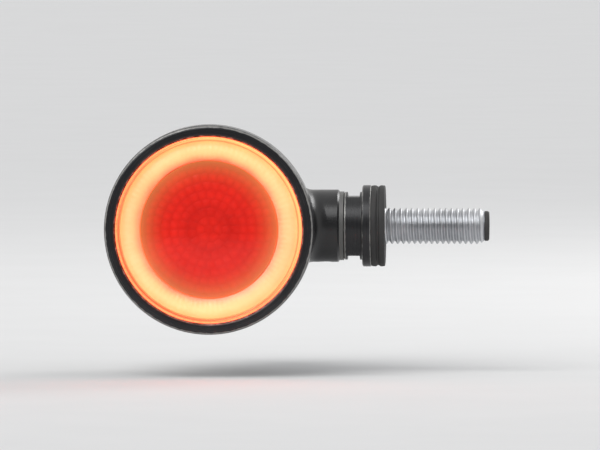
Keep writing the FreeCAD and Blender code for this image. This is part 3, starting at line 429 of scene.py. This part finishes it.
# %% [markdown]
# The glowing ring is a clear guide with a frosted crown, fed from behind by sixteen small red LEDs. To the
# eye its middle is so bright that it turns pale yellow, while its edges stay orange-red. Light could be
# spread there by real scattering, which needs thousands of samples, so the glow is given by the distance
# from the lamp axis instead: one strength for the whole ring, and a colour that burns out in the middle.
# The hottest circle lies a little outside the middle, each LED widens it a little, and the ring is weaker
# at its left and right, because no real guide is fed quite evenly.
# %% The glow of the ring
guide_lo, guide_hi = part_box("light_guide")
GUIDE_OUT, GUIDE_IN = guide_hi[2] / MM, 15.2
HOT_SHIFT = 0.35
LEDS, LED_WIDENS = 16, 0.04
WEAKER, WEAK_TILT = 0.45, 0.35
ring_mid, ring_half = (GUIDE_OUT + GUIDE_IN) / 2, (GUIDE_OUT - GUIDE_IN) / 2


def distance_out(tree):
    """Output with the distance from the lamp axis in millimetres."""
    x, y, z = split(tree, place_on(tree, "lamp"))
    return length_of(tree, x, y)


def give_glow(made, colour):
    """Feeds a colour to the glow of a finish."""
    made.node_tree.links.new(colour, surface(made)["Emission Color"])


ring_guide = finish(
    "ring_guide", (0.46, 0.22, 0.15), (0.42, 0.18, 0.12), (0.34, 0.46), bump=0.006, fine=5.0,
    Emission_Strength=3.8,
)
tree = ring_guide.node_tree
x, y, z = split(tree, place_on(tree, "lamp"))
turn = calc(tree, "ARCTAN2", y, x)
off_middle = calc(tree, "ABSOLUTE", calc(tree, "SUBTRACT", distance_out(tree), ring_mid + HOT_SHIFT))
away = calc(tree, "DIVIDE", off_middle, ring_half + HOT_SHIFT)
at_led = calc(tree, "COSINE", calc(tree, "MULTIPLY", turn, LEDS))
away = calc(tree, "SUBTRACT", away, calc(tree, "MULTIPLY", at_led, LED_WIDENS))
glow = put(tree, "ShaderNodeValToRGB", {"Fac": away})
ramp = glow.color_ramp
ramp.interpolation = "B_SPLINE"
ramp.elements[0].color = (1.0, 0.172, 0.062, 1.0)
ramp.elements.new(0.45).color = (1.0, 0.145, 0.046, 1.0)
ramp.elements.new(0.8).color = (0.78, 0.062, 0.018, 1.0)
ramp.elements[-1].color = (0.38, 0.022, 0.007, 1.0)
sides = calc(tree, "COSINE", calc(tree, "MULTIPLY_ADD", turn, 2.0, -WEAK_TILT))
weaker = calc(tree, "MULTIPLY", calc(tree, "MULTIPLY_ADD", sides, 0.5, 0.5), WEAKER)
give_glow(ring_guide, mix_colour(tree, weaker, glow.outputs[0], (0.62, 0.085, 0.030)))
print(f"ring glows between {GUIDE_IN:.1f} and {GUIDE_OUT:.1f} mm from the axis")

# %% [markdown]
# The red middle is a moulded lens lit from behind by one strong LED. Its face is covered with small
# pillows, each brighter at its middle than at the seams. The pillows are real shape, made further down,
# and the mesh carries their height as an attribute, so the light can follow the same pattern exactly.
# Towards its rim the lens also shows painted orange light, standing in for light that spills over from the
# ring: the spill grows with the cube of how far out a place lies, so it is strong only near the edge.
# %% The red lens
SPILL_FROM = 7.5
red_lens = finish(
    "red_lens", (0.34, 0.008, 0.005), (0.28, 0.006, 0.004), (0.20, 0.28), bump=0.003, fine=3.0,
    Emission_Strength=0.46, Specular_IOR_Level=0.06,
)
tree = red_lens.node_tree
pillow = put(tree, "ShaderNodeAttribute", attribute_name="pillow", attribute_type="GEOMETRY")
lit = mix_colour(tree, pillow.outputs["Fac"], (0.62, 0.010, 0.005), (1.0, 0.026, 0.012))
# Painted light: orange emission towards the rim stands in for ring light spilling onto the lens.
past = calc(tree, "SUBTRACT", distance_out(tree), SPILL_FROM)
outward = calc(tree, "MAXIMUM", calc(tree, "DIVIDE", past, GUIDE_IN - SPILL_FROM), 0.0)
give_glow(red_lens, mix_colour(tree, calc(tree, "POWER", outward, 3.0), lit, (0.90, 0.42, 0.125)))
print("red lens glows, with spill from", SPILL_FROM, "mm outwards")

# %% [markdown]
# The LEDs themselves are small blocks of silicone over a red chip. They sit deep inside, behind the guide
# and the red lens, so an even glow with slow patches is enough for them.
# %% The LED bodies
led_body = finish(
    "led_body", (0.78, 0.30, 0.12), (0.70, 0.22, 0.08), (0.30, 0.40), bump=0.002, Emission_Strength=3.0
)
tree = led_body.node_tree
patches = use(tree, grain, Place=place_on(tree, "lamp"))["Patches"]
give_glow(led_body, mix_colour(tree, patches, (0.90, 0.040, 0.016), (1.0, 0.060, 0.024)))
print("LED bodies glow")

# %% [markdown]
# The dome and the lens over the brake LED are clear plastic. Glass in a path tracer throws dark shadows
# unless light may pass it, so rays that only test for shadow see a Transparent surface and all others see
# the real one. Fine wipe marks from cleaning keep it from looking like an empty hole. The dome's rim, and
# the skirt behind it, catch light from the ring beside them as every clear edge does, and that light is
# painted on as a glow: the rim glows by its distance from the axis, and the skirt, more weakly, by its
# place along it.
# %% Clear mouldings
RISE, WALL = 2.0, 1.7
RIM_LIT = (bezel_out - 3.3, bezel_out - 2.8)
SKIRT_LIT = (RISE + WALL - 0.18, RISE + WALL - 0.05)
SKIRT_SHARE = 0.45


def clear(name, tint, rough, bend, **plain):
    """Clear moulding of refractive index bend that lets shadow rays through."""
    wiped = tuple(c * 0.985 for c in tint)
    made = finish(name, tint, wiped, rough, bump=0.0012, fine=0.9, Transmission_Weight=1.0, IOR=bend, **plain)
    tree = made.node_tree
    links = {
        0: put(tree, "ShaderNodeLightPath").outputs["Is Shadow Ray"],
        1: tree.nodes["Principled BSDF"].outputs[0],
        2: put(tree, "ShaderNodeBsdfTransparent", {"Color": (*tint, 1.0)}).outputs[0],
    }
    both = put(tree, "ShaderNodeMixShader", links)
    tree.links.new(both.outputs[0], tree.nodes["Material Output"].inputs["Surface"])
    return made


clear_lens = clear("clear_lens", (0.98, 0.98, 0.98), (0.010, 0.035), 1.25, Emission_Strength=1.9)
tree = clear_lens.node_tree
# Painted glow: the dome is no lamp, so this emission stands in for ring light caught by its rim and skirt.
rim_lit = stretch(tree, distance_out(tree), *RIM_LIT)
back_along = split(tree, put(tree, "ShaderNodeTexCoord").outputs["Object"])[1]
skirt_lit = stretch(tree, back_along, *(dome_front + depth * MM for depth in SKIRT_LIT), 0.0, SKIRT_SHARE)
painted_edge_glow = calc(tree, "MAXIMUM", rim_lit, skirt_lit)
give_glow(clear_lens, mix_colour(tree, painted_edge_glow, (0.0, 0.0, 0.0), (1.0, 0.14, 0.048)))
clear("clear_optic", (0.97, 0.97, 0.96), (0.010, 0.030), 1.30)
print("clear mouldings: clear_lens and clear_optic, rim lit from", round(RIM_LIT[0], 2), "mm outwards")

# %% [markdown]
# Every solid now takes the finish its slot names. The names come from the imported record, so a solid that
# has no finish would show up here at once instead of as a grey patch in a picture.
# %% Give every solid its finish
def slot_of(node):
    """Name of the finish that the record gives a solid."""
    return frame["nodes"][node].material_slots[0].material.name.split(".")[0]


slots = {node: slot_of(node) for node in frame["nodes"]}
for node, name in slots.items():
    for holder in frame["nodes"][node].material_slots:
        holder.material = finishes[name]
print("solids with a finish:", len(slots), "finishes used:", len(set(slots.values())))

# %% [markdown]
# A new piece stands in for one solid: it takes over the solid's finish and slot, rides on the same body,
# and hides the solid, which stays behind for the motion model. Doing all of that in one call makes it hard
# to forget one.
# %% A helper that puts a new piece in a solid's place
def fit(piece, body, node):
    """Puts a new piece in place of a solid: same finish and slot, riding on its body."""
    piece.data.materials.append(finishes[slots[node]])
    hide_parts(node)
    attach(piece, body)
    print(piece.name, "stands for", node, "with", len(piece.data.polygons), "faces")
    return piece


print("helper: fit")

# %% [markdown]
# The bezel is a turned ring that screws over the front and holds the dome. It is re-made here only for
# its edges: the lip that frames the light has a soft inner radius which catches the glow, and the outer
# front corner a bigger one. A shallow line just behind the front parts the face from the barrel.
# %% The trim ring
bore = bezel_out - 1.5
lip = bezel_front + 1.2
line_from, line_to, line_floor = bezel_front + 2.3, bezel_front + 2.8, bezel_out - 0.22
trim = outline([
    (bezel_front, window, 0.70),
    (bezel_front, bezel_out, 0.85),
    (line_from, bezel_out, 0.10),
    (line_from, line_floor, 0.08),
    (line_to, line_floor, 0.08),
    (line_to, bezel_out, 0.10),
    (bezel_back, bezel_out, 0.30),
    (bezel_back, bore, 0.08),
    (lip, bore, 0.08),
    (lip, window, 0.10),
])
fit(skin("trim_ring", on_lamp(*spin(trim, 320))), "head", "bezel_ring")

# %% [markdown]
# The dome is moulded clear plastic, about as thick as a coin, with a flange that the bezel presses on its
# seal. Both of its faces are parts of spheres. Clear things show every flaw in a mesh, because each facet
# bends what lies behind it, so this one isn't left as the solid's triangles: its rows follow the two
# spheres, whose radius comes from how far they rise over their width, and they meet in a point on the axis.
# %% The clear dome
FLANGE = 1.5
CAP_ROWS = 44
RIM_ROOM = 0.5
cover_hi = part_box("outer_lens")[1]
pole = dome_front / MM
seal_face, flange_out = cover_hi[1] / MM, cover_hi[2] / MM
glass_out, glass_in = window - 0.1, GUIDE_OUT + 0.1


def cap(front, half_width, radius):
    """Points of a sphere's cap at each radius: front + R - sqrt(R squared - radius squared).

    R is the radius of the sphere that rises by RISE over half its width."""
    ball = (half_width**2 + RISE**2) / (2 * RISE)
    return np.stack([front + ball - np.sqrt(ball**2 - radius**2), radius], -1)


outer_cap = cap(pole, glass_out, np.linspace(0, glass_out - RIM_ROOM, CAP_ROWS))
inner_cap = cap(pole + WALL, glass_in, np.linspace(glass_in - RIM_ROOM, 0, CAP_ROWS))
rim = outline([
    (*outer_cap[-1], 0.0),
    (pole + RISE, glass_out, 0.15),
    (seal_face - FLANGE, glass_out, 0.05),
    (seal_face - FLANGE, flange_out, 0.12),
    (seal_face, flange_out, 0.12),
    (seal_face, glass_in, 0.10),
    (pole + RISE + WALL, glass_in, 0.20),
    (*inner_cap[0], 0.0),
], loop=False)
dome = np.concatenate([outer_cap[:-1], rim, inner_cap[1:]])
fit(skin("clear_dome", on_lamp(*spin(dome, 240)), loop=False), "head", "outer_lens")

# %% [markdown]
# The light guide has a crown across its width and very fine flutes along it, which spread the LEDs into
# one even band. Flutes could be a bump, but a bump leaves an edge smooth when it is seen at a slant, so
# they are shape: the crown's height rises and falls with the angle.
# %% The light guide
FLUTES, FLUTE_DEPTH = 96, 0.05
CORNER, SHOULDER = 0.1, 0.6
guide_front, guide_back = -22.0, guide_hi[1] / MM
crown = guide_lo[1] / MM - guide_front
across = np.linspace(-1, 1, 33)
front_row = np.stack([guide_front + crown * (1 - across**2), ring_mid + across * (ring_half - 0.05)], -1)
back_row = np.array([
    (guide_front + SHOULDER, GUIDE_OUT),
    (guide_back - CORNER, GUIDE_OUT),
    (guide_back, GUIDE_OUT - CORNER),
    (guide_back, GUIDE_IN + CORNER),
    (guide_back - CORNER, GUIDE_IN),
    (guide_front + SHOULDER, GUIDE_IN),
])
along, radius, angle = spin(np.concatenate([front_row, back_row]), FLUTES * 8)
on_crown = np.clip((guide_front + 0.3 - along) / 0.6, 0, 1)
along = along + on_crown * FLUTE_DEPTH * (0.5 + 0.5 * np.cos(FLUTES * angle))
fit(skin("halo_guide", on_lamp(along, radius, angle)), "head", "light_guide")

# %% [markdown]
# The red lens is covered with rings of pillow optics, the usual way to spread a tail light. Each ring has
# as many pillows as fit its length, so they stay nearly square. A pillow is a bump of height
# (1 - across squared) * (1 - around squared). The same number is stored for the glow to read, weaker at
# the rim and on the circle where the dish behind the lens lights it least.
# %% The red lens and its pillows
PITCH, PILLOW = 1.9, 0.16
BORDER = 0.9
DIM_CIRCLE = 4.6
red_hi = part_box("brake_lens")[1]
red_out, red_back = red_hi[2] / MM, red_hi[1] / MM
red_edge, red_rise = -21.2, 0.55
lens_radius = np.concatenate([
    np.linspace(0, red_out - 0.12, 97),
    [red_out - 0.04, red_out, red_out, red_out - 0.1],
])
lens_along = red_edge - red_rise * (1 - (lens_radius / red_out) ** 2)
lens_along[-4:] = [red_edge + 0.05, red_edge + 0.15, red_back - 0.1, red_back]
profile = np.concatenate([np.stack([lens_along, lens_radius], -1), [[red_back, 0.0]]])
along, radius, angle = spin(profile, 384)
pillow_ring = np.floor(radius / PITCH + 0.5)
in_ring = np.maximum(np.round(2 * math.pi * pillow_ring), 1)
round_by = angle * in_ring / (2 * math.pi)
over = 2 * (radius / PITCH - pillow_ring)
around = 2 * (round_by - np.round(round_by)) * (pillow_ring > 0)
inside = (radius < red_out - BORDER) & (along < red_edge + 0.02)
hump = np.where(inside, (1 - over**2) * (1 - around**2), 0.0) * np.clip(radius / 1.4, 0, 1)
fade = np.clip((red_out - BORDER - radius) / 0.5, 0, 1)
along = along + np.where(inside, PILLOW * (1 - hump) * fade, 0.0)
lens = fit(skin("red_pillow_lens", on_lamp(along, radius, angle), loop=False), "head", "brake_lens")
at_rim = np.clip((red_out - radius) / 1.6, 0, 1)
at_circle = 0.25 + 0.75 * np.clip(np.abs(radius - DIM_CIRCLE) / 2.4, 0, 1)
glow_at = (0.45 + 0.55 * np.clip(hump, 0, 1)) * at_rim * at_circle
store = lens.data.attributes.new("pillow", "FLOAT", "POINT")
store.data.foreach_set("value", np.concatenate([glow_at[0, :1], glow_at[1:-1].ravel(), glow_at[-1, :1]]))
print("pillow rings:", int((red_out - BORDER) / PITCH))

# %% [markdown]
# The post carries the head. It is one turned part: journal, collar with two flats for a spanner, and a
# wide foot. The flats are cut by holding the height of those rows to six and a half millimetres.
# %% The swivel post
HALF_FLATS = 6.5
STUD_BORE, STUD_DEEP = 4.03, 5.0
post_lo, post_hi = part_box("swivel_post")
post_start, post_end = post_lo[0] / MM, post_hi[0] / MM
post_shape = outline([
    (post_start, hole, 0.15),
    (post_start, journal, 0.40),
    (collar_at, journal, 0.10),
    (collar_at, collar, 0.32),
    (foot_at, collar, 0.25),
    (foot_at, foot, 0.40),
    (post_end, foot, 0.25),
    (post_end, STUD_BORE, 0.10),
    (post_end - STUD_DEEP, STUD_BORE, 0.10),
    (post_end - STUD_DEEP, hole, 0.10),
])
flat_from, flat_to = collar_at + 0.75, foot_at - 0.55
rows_at = np.array([flat_from - 0.03, flat_from + 0.03, flat_to - 0.03, flat_to + 0.03])
on_collar = (post_shape[:, 0] > collar_at + 0.5) & (post_shape[:, 1] > collar - 0.01)
extra_rows = np.stack([rows_at, np.full(4, collar)], -1)
post_shape = np.insert(post_shape, np.full(4, np.argmax(on_collar)), extra_rows, axis=0)
along, radius, angle = spin(post_shape, 240)
points = on_post(along, radius, angle)
flats = (along > flat_from) & (along < flat_to) & (radius > collar - 0.01)
points[..., 2] = np.where(flats, np.clip(points[..., 2], -HALF_FLATS, HALF_FLATS), points[..., 2])
fit(skin("post", points), "stem", "swivel_post")

# %% [markdown]
# A rubber pad keeps road buzz from the bracket. It is squeezed between two flat faces, so its edge swells
# a little between them, and it was moulded in two halves, which leaves a shallow line round the middle.
# %% The rubber pad
PAD_HOLE = 4.2
pad_lo, pad_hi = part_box("isolator_pad")
left, right, wide = pad_lo[0] / MM, pad_hi[0] / MM, pad_hi[2] / MM
third = (right - left) / 3
pad_shape = outline([
    (left, PAD_HOLE, 0.10),
    (left, wide - 0.10, 0.22),
    (left + third, wide, 0.60),
    (left + 1.5 * third, wide - 0.42, 0.35),
    (right - third, wide, 0.60),
    (right, wide - 0.10, 0.22),
    (right, PAD_HOLE, 0.10),
])
fit(skin("rubber_pad", on_post(*spin(pad_shape, 200))), "stem", "isolator_pad")
print("pad thickness in mm:", round(right - left, 2))

# %% [markdown]
# The stud is a rolled thread on a tube, pitch one and a quarter millimetres. A helix can be swept from a
# coil curve, but then the ends and the bore need repairing. It is simpler to let the radius of the tube
# depend on place and angle together: the depth follows the fraction of (place / pitch - turns), which is
# what a thread is, and it fades in at the bracket face and out over the chamfer at the free end.
# %% The threaded stud
THREAD_PITCH, THREAD_DEPTH = 1.25, 0.64
CHAMFER = 0.9
stud_lo, stud_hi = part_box("hollow_stud")
crest, tip, root_end = stud_hi[2] / MM, stud_hi[0] / MM, stud_lo[0] / MM
run = np.linspace(-0.3, tip - 0.01, 268)
thread_rows = np.stack([run, np.full_like(run, crest)], -1)
tube_rows = np.array([
    (tip, hole + 0.9),
    (tip, hole + 0.12),
    (tip - 0.12, hole),
    (root_end, hole),
    (root_end, crest - 0.5),
    (root_end + 0.4, crest - 0.1),
    (-0.4, crest - 0.1),
])
along, radius, angle = spin(np.concatenate([thread_rows, tube_rows]), 84)
threaded = radius > crest - 0.01
phase = np.mod(along / THREAD_PITCH - angle / (2 * math.pi), 1.0)
flank = np.clip((np.abs(2 * phase - 1) - 0.14) / 0.72, 0, 1)
groove = flank * flank * (3 - 2 * flank) * 0.35 + flank * 0.65
cut_to = crest - THREAD_DEPTH * groove * np.clip((along + 0.1) / 0.7, 0, 1)
chamfer_to = crest - np.clip(along - (tip - CHAMFER), 0, None)
radius = np.where(threaded, np.minimum(cut_to, chamfer_to), radius)
stud = fit(skin("threaded_stud", on_post(along, radius, angle)), "stem", "hollow_stud")
stud.data.set_sharp_from_angle(angle=math.radians(60))
print("turns of thread:", round(tip / THREAD_PITCH, 1))

# %% [markdown]
# A soft grommet closes the end of the stud and grips the cable that comes with the bike. It is a plain
# moulded sleeve with a lip, and its mouth is rounded so that it doesn't cut into the cable's jacket.
# %% The cable grommet
CABLE_HOLE, SLEEVE = 1.9, 2.46
lip_lo, lip_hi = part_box("cable_grommet")
sleeve_end, mouth, lip_out = lip_lo[0] / MM, lip_hi[0] / MM, lip_hi[2] / MM
sleeve = outline([
    (sleeve_end, CABLE_HOLE, 0.10),
    (sleeve_end, SLEEVE, 0.12),
    (tip, SLEEVE, 0.05),
    (tip, lip_out, 0.12),
    (mouth, lip_out, 0.45),
    (mouth, CABLE_HOLE, 0.40),
])
fit(skin("grommet", on_post(*spin(sleeve, 120))), "stem", "cable_grommet")
print("grommet lip in mm:", round(mouth - tip, 2))

# %% [markdown]
# The tail screw pulls the optics into the housing from behind. Its head sits in a counterbore, so what
# shows is a ring of steel with a hexagon in it. The hexagon is one more rule on the grid: inside the
# socket, the radius at each angle is the flat's distance divided by the cosine of the angle from it.
# %% The tail screw
KEY = 3.0 / 2
HEAD_HEIGHT, SHANK = 4.0, 2.0
screw_lo, screw_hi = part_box("tail_screw")
head_out, top, shank_end = screw_hi[2] / MM, screw_hi[1] / MM, screw_lo[1] / MM
under = top - HEAD_HEIGHT
screw_shape = outline([
    (shank_end, 0.0, 0.0),
    (shank_end, SHANK, 0.30),
    (under, SHANK, 0.05),
    (under, head_out, 0.15),
    (top, head_out, 0.45),
    (top, KEY + 0.35, 0.08),
    (top - 0.35, KEY + 0.02, 0.06),
    (top - 2.0, KEY, 0.08),
    (top - 2.4, 0.0, 0.0),
], loop=False)
along, radius, angle = spin(screw_shape, 144)
from_flat = np.mod(angle, math.pi / 3) - math.pi / 6
hexagon = np.minimum(KEY / np.cos(from_flat), KEY + 0.24)
in_key = (along > under) & (radius < KEY + 0.1) & (radius > KEY - 0.3) & (along < top - 0.25)
radius = np.where(in_key, hexagon * radius / KEY, radius)
fit(skin("key_screw", on_lamp(along, radius, angle), loop=False), "head", "tail_screw")

# %% [markdown]
# The light is held by its stud, not by the floor, and its front edge swings down when the head turns. So
# the floor lies just under the lowest place that the bezel reaches: radius * cos + front * sin of the
# turn. It runs on far past the camera's view, and it is marked as stage, because it isn't part of the
# object. To mirrored rays it is darker in front of the lens, a painted dark reflection, so that the dome
# doesn't show a pale horizon.
# %% Floor
FLOOR_GAP, FLOOR_REACH = 0.3, 30.0
DARKER_FROM, DARKEST_FROM = -0.10, -0.60
most_turn = math.radians(swivel["range_deg"][1])
swings_down = bezel_out * math.cos(most_turn) - bezel_front * math.sin(most_turn)
floor_at = -(swings_down + FLOOR_GAP) * MM
corners = np.array([(-1, -1, 0), (1, -1, 0), (1, 1, 0), (-1, 1, 0)]) * FLOOR_REACH + [0, 0, floor_at]
mesh = bpy.data.meshes.new("floor")
mesh.from_pydata(corners.tolist(), [], [(0, 1, 2, 3)])
floor = bpy.data.objects.new("floor", mesh)
bpy.context.collection.objects.link(floor)
floor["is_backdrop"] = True
paper = bpy.data.materials.new("paper")
paper.use_nodes = True
tree = paper.node_tree
spot = put(tree, "ShaderNodeTexCoord").outputs["Object"]
sheet = mix_colour(tree, noise(tree, spot, 40.0, 3.0), (0.73, 0.725, 0.715), (0.76, 0.755, 0.745))
# Painted reflection: only glossy rays see the floor dark grey in front of the lens.
in_front = stretch(tree, split(tree, spot)[1], DARKER_FROM, DARKEST_FROM)
mirrored = calc(tree, "MULTIPLY", in_front, put(tree, "ShaderNodeLightPath").outputs["Is Glossy Ray"])
tree.links.new(mix_colour(tree, mirrored, sheet, (0.23, 0.23, 0.23)), surface(paper)["Base Color"])
surface(paper)["Roughness"].default_value = 0.85
surface(paper)["Specular IOR Level"].default_value = 0.0
mesh.materials.append(paper)
print(f"floor at z = {floor_at / MM:.2f} mm")

# %% [markdown]
# The sky has the same pale tone as the floor, so that no edge of the floor shows from any side. Seen
# directly it is that pale everywhere. In a mirror or through glass it is dark in front of the lens, as the
# floor is in a mirror, and as a source of light it is a plain middle grey.
# %% Sky
world = bpy.data.worlds.new("sky")
bpy.context.scene.world = world
world.use_nodes = True
tree = world.node_tree
path = put(tree, "ShaderNodeLightPath").outputs
by_surface = calc(tree, "MAXIMUM", path["Is Glossy Ray"], path["Is Transmission Ray"])
seen = calc(tree, "MAXIMUM", path["Is Camera Ray"], by_surface)
aim_along = split(tree, put(tree, "ShaderNodeTexCoord").outputs["Generated"])[1]
pale_part = calc(tree, "MAXIMUM", path["Is Camera Ray"], stretch(tree, aim_along, -0.9, -0.3))
shown_sky = mix_colour(tree, pale_part, (0.22, 0.22, 0.22), (0.80, 0.795, 0.785))
sky_colour = mix_colour(tree, seen, (0.50, 0.51, 0.53), shown_sky)
tree.links.new(sky_colour, tree.nodes["Background"].inputs["Color"])
print("sky:", world.name)

# %% [markdown]
# Two soft lights are enough. A broad sun high at the front left models the round shapes and lights the
# floor evenly, near and far, and a small soft box behind at the right draws a line of light along the top
# of the black housing. They stay weak, so that the pale floor keeps its tone and shows the red glow.
# %% Soft lamps
middle = (np.array(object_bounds()[0]) + np.array(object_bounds()[1])) / 2


def hang(lamp, at):
    """Hangs a lamp at a point in metres and turns it to face the middle of the light."""
    away = middle - np.array(at)
    tip_by = math.acos(-away[2] / np.linalg.norm(away))
    holder = bpy.data.objects.new(lamp.name, lamp)
    holder.location = at
    holder.rotation_euler = (tip_by, 0, math.atan2(away[1], away[0]) - math.pi / 2)
    bpy.context.collection.objects.link(holder)


sun = bpy.data.lights.new("key", "SUN")
sun.energy, sun.angle = 1.9, math.radians(50)
hang(sun, (-0.42, -0.62, 0.72))
box = bpy.data.lights.new("rim", "AREA")
box.energy, box.size = 1.4, 0.30
hang(box, (0.40, 0.45, 0.38))
print("lamps aimed at", [round(float(v) / MM, 1) for v in middle])

# %% [markdown]
# A tail light is mostly seen from well behind the motorcycle, a little above the lamp axis. The camera
# stands in that direction, far off and a little to the right, with a long lens, so that the light fills a
# good part of the frame and its round front isn't stretched by a near view.
# %% Camera
AZIMUTH, ELEVATION, DISTANCE = math.radians(2.2), math.radians(2.4), 2.73
SENSOR = 36
cam = bpy.data.cameras.new("camera")
cam.lens, cam.clip_start, cam.clip_end = 740, 0.1, 60
camera = bpy.data.objects.new("camera", cam)
bpy.context.collection.objects.link(camera)
sideways, back = math.sin(AZIMUTH) * math.cos(ELEVATION), -math.cos(AZIMUTH) * math.cos(ELEVATION)
camera.location = middle * [1, 1, 0] + np.array([sideways, back, math.sin(ELEVATION)]) * DISTANCE
camera.rotation_euler = (math.pi / 2 - ELEVATION, 0, AZIMUTH)
bpy.context.scene.camera = camera
bpy.context.scene.view_settings.view_transform = "Standard"
print("field at the light in mm:", round(SENSOR / cam.lens * DISTANCE / MM))
